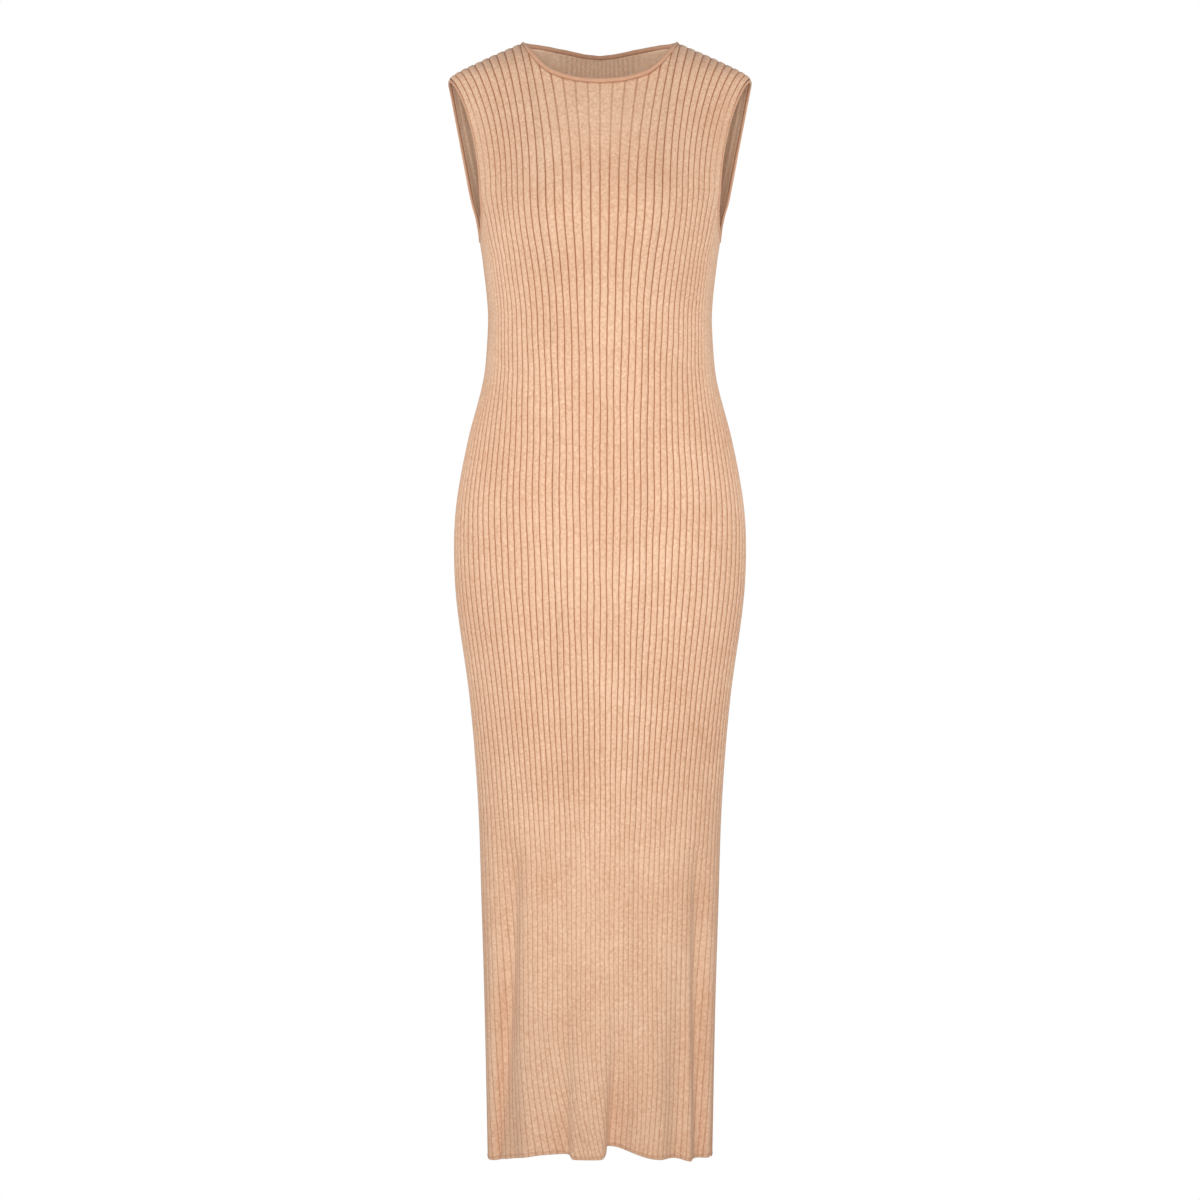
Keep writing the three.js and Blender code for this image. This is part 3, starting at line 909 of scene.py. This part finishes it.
def sweep(
    name: str,
    line: Array,
    ways: tuple[Array, Array],
    reach: tuple[Array, Array],
    place: tuple[Array, Array],
    material: Material,
    closed: bool,
) -> Piece:
    """Make a tube of rings of points round a line, wrapped in a UV map in millimetres.

    Args:
        name: the piece's name.
        line: the line's points.
        ways: two directions at each of them.
        reach: how far each point of each ring is out along either.
        place: each point's place round its ring, and each ring's place along the cloth.
        material: its finish.
        closed: whether the last ring joins the first. If it doesn't, both ends get faces.

    Returns:
        The object.
    """
    out = sum(way[:, None, :] * far[..., None] for way, far in zip(ways, reach))
    ring = line[:, None, :] + out
    count, sides = ring.shape[:2]
    number = np.arange(count * sides).reshape(count, sides)
    ahead = np.roll(number, -1, axis=0)
    corners = (number, ahead, np.roll(ahead, -1, axis=1), np.roll(number, -1, axis=1))
    quads = np.stack(corners, axis=-1)[: count if closed else -1].reshape(-1, 4)
    if not closed:
        caps = [
            [row[i], row[i + 1], row[-i - 2], row[-i - 1]]
            for row in (number[0], number[-1][::-1])
            for i in range(sides // 2 - 1)
        ]
        quads = np.concatenate([quads, caps])
    uv = np.stack(np.broadcast_arrays(place[0], place[1][:, None]), axis=-1).reshape(-1, 2)
    return make_object(name, ring.reshape(-1, 3), quads, [material], uv)


def join_edges(grids: Sequence[ClothGrid], picks: Sequence[Array], turned: bool) -> list[Array]:
    """Join the front's edge and the back's edge into one loop.

    Args:
        grids: the front's and the back's grid.
        picks: rows and columns of the edge points of each, both from the same end.
        turned: whether the loop is run the other way round.

    Returns:
        The loop's points with the cloth on its left, and the way the cloth faces at each.
    """
    edges = [(grid.points[pick], grid.normals[pick]) for grid, pick in zip(grids, picks)]
    loops = [np.concatenate([front, back[1:-1][::-1]]) for front, back in zip(*edges)]
    return [loop[::-1] for loop in loops] if turned else loops


@dataclass
class RolledEdge:
    """A narrow band of plain knit that rolls over outwards along a free edge."""

    name: str
    radius: float
    lift: float  # how far its middle stands out from the cloth
    overlap: float = 0.5  # how far it reaches back over the edge
    sides: int = 24
    rounding: int = 5  # how many times its line is averaged with its neighbours at corners
    uneven: float = 0.07  # how much its thickness varies
    pressed: float = 0.1  # how far the side next to the cloth is pressed in, in radii
    least_cosine: float = 0.6  # of half a bend in the edge, beyond which it moves no further out
    seed: int = 3

    def build(self, points: Array, normals: Array, material: Material) -> Piece:
        """Sweep the roll along its edge.

        Its middle lies beyond the edge by its radius less the overlap, over the cosine of half the
        edge's bend, and is then evened out along its length. The side next to the cloth is pressed
        in by a bell of the cosine of the turn round it.

        Args:
            points: the edge's points.
            normals: the way the cloth faces there.
            material: its finish.

        Returns:
            The object.
        """
        steps = np.roll(points, -1, axis=0) - points
        ahead = unit(steps)
        along = unit(ahead + np.roll(ahead, 1, axis=0))
        away = unit(np.cross(along, normals))
        upright = np.cross(away, along)
        bend = 1 / np.maximum((along * ahead).sum(axis=1), self.least_cosine)
        middle = (
            points
            + away * ((self.radius - self.overlap) * bend)[:, None]
            + upright * (self.lift + (RIB_HEIGHT - WALL) / 2)
        )
        for _ in range(self.rounding):
            middle = (np.roll(middle, 1, axis=0) + 2 * middle + np.roll(middle, -1, axis=0)) / 4
        lengths = np.linalg.norm(steps, axis=1)
        place = np.concatenate([[0], np.cumsum(lengths)[:-1]])
        turn = np.arange(self.sides) / self.sides * 2 * math.pi
        outline = 1 - self.pressed * bell(np.cos(turn) + 1, 0.5)
        radius = self.radius * (1 + self.swell(place / lengths.sum()))[:, None] * outline
        LOG.info("%s is %.0f mm long", self.name, lengths.sum())
        reach = (radius * np.cos(turn), radius * np.sin(turn))
        on_cloth = (turn * self.radius, place)
        return sweep(self.name, middle, (away, upright), reach, on_cloth, material, closed=True)

    def swell(self, share: Array) -> Array:
        """How much thicker the roll is at each share of its length: a few slow waves.

        Args:
            share: the shares.

        Returns:
            What is added to its thickness, as shares of it.
        """
        rng = np.random.default_rng(self.seed)
        total = np.zeros_like(share)
        for waves in (5, 11, 19, 31):
            total += np.sin(2 * math.pi * waves * share + rng.uniform(0, 6.28)) / 3
        return self.uneven * total


@dataclass
class OverlockedSeam:
    """The trimmed edges of two panels, bound together with thread on the inside of a seam."""

    name: str
    wide: float = 3.4
    thick: float = 1.1
    sides: int = 8
    clear: float = 0.3  # from the cloth to the thread

    def build(self, points: Array, normals: Array, material: Material) -> Piece:
        """Sweep a flat oval along the inside of a seam and close its ends.

        The oval is wide along the cloth and thick across it. It shrinks over its last points by
        the square root of half their count from the end.

        Args:
            points: the seam's points from top to bottom.
            normals: the way the cloth faces there.
            material: its finish.

        Returns:
            The object.
        """
        ahead = unit(np.gradient(points, axis=0))
        across = unit(np.cross(ahead, normals))
        inwards = np.cross(ahead, across)
        inwards *= np.sign(-(inwards * normals).sum(axis=1, keepdims=True))
        count = len(points)
        from_end = np.minimum(np.arange(count), np.arange(count)[::-1])
        size = np.sqrt(np.clip(from_end / 2, 0.02, 1))[:, None]
        turn = np.arange(self.sides) / self.sides * 2 * math.pi
        middle = points + inwards * (WALL + self.clear + self.thick / 2)
        reach = (size * self.wide / 2 * np.cos(turn), size * self.thick * np.sin(turn))
        steps = np.linalg.norm(np.diff(points, axis=0), axis=1)
        on_cloth = (turn * self.wide / 3, np.concatenate([[0], np.cumsum(steps)]))
        made = sweep(self.name, middle, (across, inwards), reach, on_cloth, material, closed=False)
        face_outwards(made)
        return made


def face_outwards(piece: Piece) -> None:
    """Turn a closed mesh's faces outwards.

    Args:
        piece: the mesh's object.
    """
    bpy.context.view_layer.objects.active = piece
    piece.select_set(True)
    bpy.ops.object.mode_set(mode="EDIT")
    bpy.ops.mesh.select_all(action="SELECT")
    bpy.ops.mesh.normals_make_consistent(inside=False)
    bpy.ops.object.mode_set(mode="OBJECT")
    piece.select_set(False)
    piece.data.update()


def add_node(
    tree: bpy.types.NodeTree, kind: str, inputs: dict | None = None, **settings: object
) -> bpy.types.Node:
    """Add a node with its settings and links.

    Args:
        tree: the tree that it goes into.
        kind: Blender's name for the kind of node.
        inputs: a value for each input by name or number, or the output that is linked to it.
        settings: the node's own settings.

    Returns:
        The node.
    """
    node = tree.nodes.new(kind)
    for key, value in settings.items():
        setattr(node, key, value)
    for key, value in (inputs or {}).items():
        if isinstance(value, Socket):
            tree.links.new(value, node.inputs[key])
        else:
            node.inputs[key].default_value = value
    return node


@dataclass(frozen=True)
class Nodes:
    """One material's node tree, with short ways to add the nodes that the finishes share."""

    tree: bpy.types.NodeTree

    @classmethod
    def start(cls, name: str) -> tuple[Material, "Nodes"]:
        """Make an empty material that uses nodes, and its tree.

        Args:
            name: the material's name.

        Returns:
            The material and its nodes.
        """
        material = bpy.data.materials.new(name)
        material.use_nodes = True
        material.node_tree.nodes.clear()
        return material, cls(material.node_tree)

    def maths(self, operation: str, *values: Socket | float) -> Socket:
        """Work with up to three numbers."""
        inputs = dict(enumerate(values))
        return add_node(self.tree, "ShaderNodeMath", inputs, operation=operation).outputs[0]

    def mapped(
        self, value: Socket, low_high: Range, to: Range = (0.0, 1.0), kind: str = "LINEAR"
    ) -> Socket:
        """Carry a number from one range to another, and hold it at the ends."""
        inputs = dict(enumerate((value, *low_high, *to)))
        return add_node(self.tree, "ShaderNodeMapRange", inputs, interpolation_type=kind).outputs[0]

    def mixed(
        self, share: Socket | float, first: object, second: object, blend: str = "MIX"
    ) -> Socket:
        """Mix two colours, each a linear colour or an output.

        Args:
            share: how much of the second shows.
            first: one colour.
            second: the other.
            blend: Blender's name for the way that they mix.

        Returns:
            The mixed colour.
        """
        inputs = {0: share, 6: first, 7: second}
        node = add_node(self.tree, "ShaderNodeMix", inputs, data_type="RGBA", blend_type=blend)
        return node.outputs[2]

    def noise(self, where: Socket, scale: float, detail: float = 2.0, rough: float = 0.5) -> Socket:
        """Soft random clouds from 0 to 1."""
        inputs = {"Vector": where, "Scale": scale, "Detail": detail, "Roughness": rough}
        return add_node(self.tree, "ShaderNodeTexNoise", inputs).outputs[0]

    def wave(
        self, place: Socket, length: float, height: float = 0.5, middle: Socket | float = 0.5
    ) -> Socket:
        """A sine wave along a number, from crest to crest in this length."""
        turned = self.maths("MULTIPLY", place, 2 * math.pi / length)
        return self.maths("MULTIPLY_ADD", self.maths("SINE", turned), height, middle)

    def in_space(self) -> Socket:
        """The place in the object's own coordinates, in metres."""
        return add_node(self.tree, "ShaderNodeTexCoord").outputs["Object"]

    def on_cloth(self) -> tuple[Socket, Socket, Socket]:
        """The place by the UV map, in millimetres.

        Returns:
            Both numbers together, and each by itself.
        """
        place = add_node(self.tree, "ShaderNodeUVMap", uv_map="cloth").outputs[0]
        split = add_node(self.tree, "ShaderNodeSeparateXYZ", {0: place}).outputs
        return place, split[0], split[1]

    def stored(self, name: str) -> Socket:
        """A number that the mesh holds for each of its points."""
        return add_node(self.tree, "ShaderNodeAttribute", attribute_name=name).outputs[2]

    def surface(self, inputs: dict, height: Socket | None = None, strength: float = 0.0) -> None:
        """Add the surface.

        Args:
            inputs: its colour and other numbers by name.
            height: what raises its bump, if it has one.
            strength: how much of the bump shows.
        """
        if height is not None:
            bump = {"Strength": strength, "Distance": BUMP_HEIGHT, "Height": height}
            inputs["Normal"] = add_node(self.tree, "ShaderNodeBump", bump).outputs[0]
        shader = add_node(self.tree, "ShaderNodeBsdfPrincipled", inputs)
        add_node(self.tree, "ShaderNodeOutputMaterial", {0: shader.outputs[0]})


BUMP_HEIGHT = 0.5 * METRES  # how far the stitches and the thread stand out
STRAY_SCALE = (0.11, 0.16, 0.0)  # noise across and down the cloth, to the millimetre
# Wool yarn is matt, and its soft halo of fibres lightens it where it is seen edge on.
WOOL = {
    "Roughness": 0.93,
    "Specular IOR Level": 0.2,
    "Sheen Roughness": 0.55,
    "Sheen Tint": (1.0, 0.86, 0.74, 1.0),
}


@dataclass(frozen=True)
class RibKnitWool:
    """A wool blend in a heathered camel, spun fine and knitted on a machine as a flat-topped rib.

    The yarn's own fibres differ in colour, so the rib tops are mottled.
    """

    face: Face
    light: str = "#f3ceaf"  # the palest fibres on a rib's top
    deep: str = "#d9a887"  # the deeper, pinker fibres
    groove: str = "#a05f3c"  # painted shade: the colour of a groove's shaded bottom, also used for the painted shade lines
    shading: float = 0.85  # how much of the painted shade shows at a groove's bottom
    valley_edges: Range = (0.36, 0.475)  # where a valley starts and ends, in ribs from a rib's top
    # The real yarn mixes over less than a millimetre. It is drawn 3 mm coarse so that it shows.
    fleck: float = 3.0
    # A stitch is really about 1.3 mm tall. It is drawn 2.6 mm tall so that it shows.
    stitch: float = 2.6
    stray: float = 0.05  # how far a valley strays from its line, in ribs
    clouds: float = 14.0  # the scale of the colour's broad changes, to the metre
    fuzz: float = 700.0  # the scale of the yarn's unevenness, to the metre
    hem_shade_line: float = 3.6  # how far above the hem the line of painted shade lies

    def build(self) -> Material:
        """Make the material.

        The painted shade of a groove follows the distance from the groove's line in ribs, counted
        by the cloth's own UV map, and is as strong as the ribs are there.

        Returns:
            The material.
        """
        material, nodes = Nodes.start(f"wool_rib_knit_{self.face.value}")
        place, across, down = nodes.on_cloth()
        stitches = self.stitches(nodes, across, down)
        yarn = self.heather(nodes, self.valley(nodes, place, across))
        # Painted light and shade of the stitches: 7% darker to 5% lighter along each course.
        shade = nodes.mapped(stitches, (0.0, 1.0), (0.93, 1.05))
        colour = nodes.mixed(1.0, yarn, shade, "MULTIPLY")
        # Painted shade: a darker line just above the hem. On the outside a painted shadow also runs
        # along the top rows, under the rolled edges of the neck and armholes and at the shoulder
        # seams.
        to_hem = nodes.stored("to_hem")
        from_line = nodes.maths("ABSOLUTE", nodes.maths("SUBTRACT", to_hem, self.hem_shade_line))
        colour = self.painted_shade_line(nodes, colour, from_line, (2.2, 0.4), 0.25)
        if self.face is Face.OUTSIDE:
            colour = self.painted_shade_line(nodes, colour, nodes.stored("to_top"), (3.4, 0.8), 0.6)
        # The unevenness of the yarn's surface adds to the stitches.
        height = nodes.maths("ADD", stitches, nodes.noise(nodes.in_space(), self.fuzz))
        nodes.surface({"Base Color": colour, "Sheen Weight": 0.22, **WOOL}, height, 0.45)
        return material

    def valley(self, nodes: Nodes, place: Socket, across: Socket) -> Socket:
        """The painted shade of the valleys between the ribs, whose lines stray a little in slow
        waves.

        Args:
            nodes: the material's nodes.
            place: the place on the cloth.
            across: the part of it across the ribs.

        Returns:
            How much painted shade each place has, from 0 to 1.
        """
        inputs = {0: place, 1: STRAY_SCALE}
        slow = add_node(nodes.tree, "ShaderNodeVectorMath", inputs, operation="MULTIPLY").outputs[0]
        noise = nodes.noise(slow, 1.0, detail=1.0)
        stray = nodes.mapped(noise, (0.0, 1.0), (-self.stray, self.stray))
        ribs = nodes.maths("MULTIPLY_ADD", across, 1 / RIB_PITCH, stray)
        centred = nodes.maths("SUBTRACT", nodes.maths("FRACT", ribs), 0.5)
        from_top = nodes.maths("ABSOLUTE", centred)
        band = nodes.mapped(from_top, self.valley_edges, kind="SMOOTHSTEP")
        strength = nodes.maths("POWER", nodes.stored("rib_depth"), 0.65)
        return nodes.maths("MULTIPLY", band, strength)

    def heather(self, nodes: Nodes, valley: Socket) -> Socket:
        """The yarn's mixed colour, with painted shade in the valleys.

        Args:
            nodes: the material's nodes.
            valley: how much painted shade each place has.

        Returns:
            The colour.
        """
        where = nodes.in_space()
        flecks = nodes.noise(where, 1 / (self.fleck * METRES), rough=0.65)
        clouds = nodes.noise(where, self.clouds)
        share = nodes.mapped(nodes.maths("MULTIPLY_ADD", clouds, 0.35, flecks), (0.46, 0.9))
        yarn = nodes.mixed(share, linear_colour(self.deep), linear_colour(self.light))
        # The groove's shaded colour is mixed in here: painted shade.
        depth = nodes.maths("MULTIPLY", valley, self.shading)
        return nodes.mixed(depth, yarn, linear_colour(self.groove))

    def stitches(self, nodes: Nodes, across: Socket, down: Socket) -> Socket:
        """The courses of the knit: a wave down the cloth that dips in a V within each wale."""
        vee = nodes.maths("PINGPONG", nodes.maths("MULTIPLY", across, WALES / RIB_PITCH), 1.0)
        return nodes.wave(nodes.maths("MULTIPLY_ADD", down, 1 / self.stitch, vee), 1.0)

    def painted_shade_line(
        self, nodes: Nodes, colour: Socket, distance: Socket, edges: Range, most: float
    ) -> Socket:
        """Painted shade where a distance is small: the groove's colour, up to the most."""
        share = nodes.mapped(distance, edges, (0.0, most))
        return nodes.mixed(share, colour, linear_colour(self.groove))


@dataclass(frozen=True)
class RolledKnitWool:
    """The same wool in plain knit, rolled over so that its rows of stitches run along the edge."""

    # Both are darker than the panels' wool: painted shade on the roll.
    light: str = "#e0b292"
    deep: str = "#c9987a"
    flecks: float = 420.0  # the scale of the mixed fibres, to the metre
    # Rows are really about 1.2 mm apart. They are drawn 2.2 mm apart so that they show.
    row: float = 2.2

    def build(self) -> Material:
        """Make the material, which reads its place round and along the roll from the UV map.

        Returns:
            The material.
        """
        material, nodes = Nodes.start("wool_rolled_edge")
        _, turn, along = nodes.on_cloth()
        # The slight rise and fall of colour across the rows is painted shade of the stitches.
        slant = nodes.maths("MULTIPLY_ADD", turn, 0.5, along)
        share = nodes.wave(slant, self.row, 0.12, nodes.noise(nodes.in_space(), self.flecks))
        colour = nodes.mixed(share, linear_colour(self.deep), linear_colour(self.light))
        nodes.surface({"Base Color": colour, "Sheen Weight": 0.2, **WOOL}, share, 0.4)
        return material


@dataclass(frozen=True)
class OverlockThread:
    """Spun polyester thread laid over the seam's edge in close loops, deeper than the wool."""

    colour: str = "#c99a72"
    shade: str = "#a87b55"
    loop: float = 2.4  # from one loop to the next

    def build(self) -> Material:
        """Make the material: bands of thread across the seam, which read as the loops.

        Returns:
            The material.
        """
        material, nodes = Nodes.start("polyester_overlock_thread")
        share = nodes.wave(nodes.on_cloth()[2], self.loop)
        colour = nodes.mixed(share, linear_colour(self.shade), linear_colour(self.colour))
        inputs = {"Base Color": colour, "Roughness": 0.7, "Specular IOR Level": 0.35}
        nodes.surface(inputs, share, 0.6)
        return material


@dataclass(frozen=True)
class StudioPaint:
    """Matt white paint on the studio floor, which gives a plain pale ground."""

    colour: str = "#f4f3f1"

    def build(self) -> Material:
        """Make the material.

        Returns:
            The material.
        """
        material, nodes = Nodes.start("matt_white_paint")
        nodes.surface({"Base Color": linear_colour(self.colour), "Roughness": 0.9})
        return material


@dataclass(frozen=True)
class SoftLight:
    """A soft square light, in metres."""

    name: str
    at: Point
    towards: Point
    size: float
    watts: float
    spread: float  # the angle that it fans out over, in degrees

    def build(self) -> None:
        """Stand the light in its place and turn it."""
        data = bpy.data.lights.new(self.name, "AREA")
        data.size, data.energy, data.spread = self.size, self.watts, math.radians(self.spread)
        light = bpy.data.objects.new(self.name, data)
        light.location = self.at
        aim = Vector(self.towards) - Vector(self.at)
        light.rotation_euler = aim.to_track_quat("-Z", "Y").to_euler()
        bpy.context.scene.collection.objects.link(light)


@dataclass
class Studio:
    """A pale floor, even light from all sides, four soft lights and the camera, in metres."""

    camera_at: Point = (0.0, -3.6, -0.649)
    lens: float = 92.95
    floor_z: float = -1.44
    floor_x: Range = (-1.5, 1.5)
    floor_y: Range = (-1.6, 0.44)
    surround: float = 0.34  # the light that comes evenly from all sides
    lights: tuple[SoftLight, ...] = (
        SoftLight("key_light", (-0.1, -3.3, -0.45), (0, 0, -0.86), 0.8, 4.7, 48),
        SoftLight("left_light", (-1.3, -0.8, -0.2), (0, 0, -0.22), 0.6, 2.4, 90),
        SoftLight("right_light", (1.3, -0.8, -0.2), (0, 0, -0.22), 0.6, 2.4, 90),
        SoftLight("back_light", (0.7, 3.2, -0.4), (0, 0, -0.66), 1.0, 9.4, 66),
    )

    def build(self) -> None:
        """Set up the whole studio."""
        self.light_the_surroundings()
        for light in self.lights:
            light.build()
        self.lay_floor()
        self.place_camera()

    def light_the_surroundings(self) -> None:
        """Make the surroundings white, and their light as strong as the surround says."""
        world = bpy.data.worlds.new("white_studio")
        bpy.context.scene.world = world
        world.use_nodes = True
        tree = world.node_tree
        tree.nodes.clear()
        white = (1.0, 1.0, 1.0, 1.0)
        soft = add_node(tree, "ShaderNodeBackground", {0: white, 1: self.surround})
        seen = add_node(tree, "ShaderNodeBackground", {0: white, 1: 1.0})
        path = add_node(tree, "ShaderNodeLightPath")
        shares = {0: path.outputs["Is Camera Ray"], 1: soft.outputs[0], 2: seen.outputs[0]}
        mixed = add_node(tree, "ShaderNodeMixShader", shares)
        add_node(tree, "ShaderNodeOutputWorld", {0: mixed.outputs[0]})

    def lay_floor(self) -> None:
        """Lay the floor below the hem, and short of what the camera sees behind the dress."""
        (left, right), (near, far) = self.floor_x, self.floor_y
        around = ((left, near), (right, near), (right, far), (left, far))
        corners = np.array([(x, y, self.floor_z) for x, y in around]) / METRES
        quads = np.array([[0, 1, 2, 3]])
        floor = make_object("studio_floor", corners, quads, [StudioPaint().build()], corners[:, :2])

    def place_camera(self) -> None:
        """Stand the camera level in front of the dress."""
        data = bpy.data.cameras.new("camera")
        data.lens, data.sensor_width, data.clip_end = self.lens, 36.0, 50.0
        camera = bpy.data.objects.new("camera", data)
        camera.location = self.camera_at
        camera.rotation_euler = (math.pi / 2, 0.0, 0.0)
        bpy.context.scene.collection.objects.link(camera)
        bpy.context.scene.camera = camera
        bpy.context.scene.view_settings.view_transform = "Standard"


@dataclass
class SweaterDress:
    """The whole dress: two panels, three rolled edges and the seams inside."""

    front: KnitPanel = field(default_factory=lambda: KnitPanel("front_cloth", FRONT_CUT, seed=7))
    back: KnitPanel = field(default_factory=lambda: KnitPanel("back_cloth", BACK_CUT, seed=19))
    neck: RolledEdge = field(default_factory=lambda: RolledEdge("neck_edge", 2.75, 0.8))
    arm_radius: float = 1.75
    arm_lift: float = 0.3
    sides: dict[str, int] = field(default_factory=lambda: {"left": 1, "right": -1})

    def build(self) -> list[Piece]:
        """Build, dress and declare every piece.

        Returns:
            The pieces.
        """
        grids = [self.front.grid(), self.back.grid()]
        self.match_seams(*grids)
        # The reverse: broad shallow valleys of faint painted shade, paler colours as painted light.
        reverse = RibKnitWool(
            Face.INSIDE, light="#ffe4ca", deep="#f0c8a6", shading=0.22, valley_edges=(0.33, 0.16)
        )
        finishes = [RibKnitWool(Face.OUTSIDE).build(), reverse.build()]
        rolled = RolledKnitWool().build()
        thread = OverlockThread().build()
        panels = (self.front, self.back)
        cloths = [panel.build(grid, finishes) for panel, grid in zip(panels, grids)]
        rolls = [self.neck.build(*self.neck_loop(grids), rolled)]
        for name, mirror in self.sides.items():
            edge = RolledEdge(
                f"armhole_edge_{name}", self.arm_radius, self.arm_lift, sides=16, seed=11 + mirror
            )
            rolls.append(edge.build(*self.armhole_loop(grids, mirror), rolled))
        seams = self.build_seams(grids[0], thread)
        self.declare(cloths, grids, rolls, seams)
        return [*cloths, *rolls, *seams]

    def shoulder(self, panel: KnitPanel, mirror: int) -> Array:
        """The columns of one panel along a shoulder seam, from the neck's corner to the tip."""
        count = STEP * (panel.cut.tip_ribs - panel.cut.neck_ribs) + 1
        return MIDDLE + mirror * (STEP * panel.cut.neck_ribs + np.arange(count))

    def match_seams(self, front: ClothGrid, back: ClothGrid) -> None:
        """Give both panels the same normals along the seams that join them.

        Args:
            front: the front's grid.
            back: the back's grid.
        """
        pairs = [((slice(YOKE_ROWS, None), column),) * 2 for column in (0, -1)]
        for mirror in self.sides.values():
            ours, theirs = (self.shoulder(panel, mirror) for panel in (self.front, self.back))
            pairs.append(((0, ours), (0, theirs)))
        for ours, theirs in pairs:
            shared = unit(front.normals[ours] + back.normals[theirs])
            front.normals[ours], back.normals[theirs] = shared, shared

    def neck_loop(self, grids: Sequence[ClothGrid]) -> list[Array]:
        """The neckline all round.

        Args:
            grids: the front's and the back's grid.

        Returns:
            The loop's points, and the way the cloth faces.
        """
        picks = []
        for panel in (self.front, self.back):
            reach = STEP * panel.cut.neck_ribs
            columns = np.arange(MIDDLE + reach, MIDDLE - reach - 1, -1)
            picks.append((np.zeros(len(columns), int), columns))
        return join_edges(grids, picks, turned=False)

    def armhole_loop(self, grids: Sequence[ClothGrid], mirror: int) -> list[Array]:
        """One armhole all round.

        Args:
            grids: the front's and the back's grid.
            mirror: 1 on the wearer's left, -1 on the right.

        Returns:
            The loop's points, and the way the cloth faces.
        """
        picks = []
        for panel in (self.front, self.back):
            tip = MIDDLE + mirror * STEP * panel.cut.tip_ribs
            scoop = np.arange(MIDDLE * (1 + mirror), tip - mirror, -mirror)
            rising = np.arange(YOKE_ROWS - 1, -1, -1)
            rows = np.concatenate([np.full(len(scoop), YOKE_ROWS), rising])
            picks.append((rows, np.concatenate([scoop, np.full(YOKE_ROWS, tip)])))
        return join_edges(grids, picks, turned=mirror < 0)

    def build_seams(self, front: ClothGrid, thread: Material) -> list[Piece]:
        """Build the side and shoulder seams inside the dress.

        Args:
            front: the front's grid.
            thread: their finish.

        Returns:
            The pieces.
        """
        seams = []
        for name, mirror in self.sides.items():
            side = (slice(YOKE_ROWS, -2), -1 if mirror > 0 else 0)
            shoulder = (0, self.shoulder(self.front, mirror)[3:-3:3])
            for kind, run in (("side", side), ("shoulder", shoulder)):
                seam = OverlockedSeam(f"{kind}_seam_{name}")
                seams.append(seam.build(front.points[run], front.normals[run], thread))
        return seams

    def declare(
        self,
        cloths: Sequence[Piece],
        grids: Sequence[ClothGrid],
        rolls: Sequence[Piece],
        seams: Sequence[Piece],
    ) -> None:
        """Say what each piece rides on, replaces and is cut from.

        A panel's cut is its surface laid flat without its ribs: as wide as its longest level row,
        and as long as its middle column, counted from the level of the shoulder.

        Args:
            cloths: the front and the back.
            grids: their grids.
            rolls: the neck's and the armholes' edges.
            seams: the seams inside.
        """
        extras = ([*rolls, *seams], [])
        nodes = ("front_panel", "back_panel")
        for cloth, grid, node, others in zip(cloths, grids, nodes, extras):
            flat, area = grid.size(), grid.area()
            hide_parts(node)
            LOG.info("%s is cut %.3f by %.3f m, %.3f m2", cloth.name, *flat, area)
        for roll, node in zip(rolls, ("neck_roll", "armhole_roll_left", "armhole_roll_right")):
            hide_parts(node)
        for piece in (*cloths, *rolls, *seams):
            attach(piece, "root")


def main() -> None:
    """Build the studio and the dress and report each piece."""
    logging.basicConfig(level=logging.INFO, format="%(message)s")
    Studio().build()
    for piece in SweaterDress().build():
        LOG.info("%s has %d triangles", piece.name, 2 * len(piece.data.polygons))


if __name__ == "__main__":
    main()
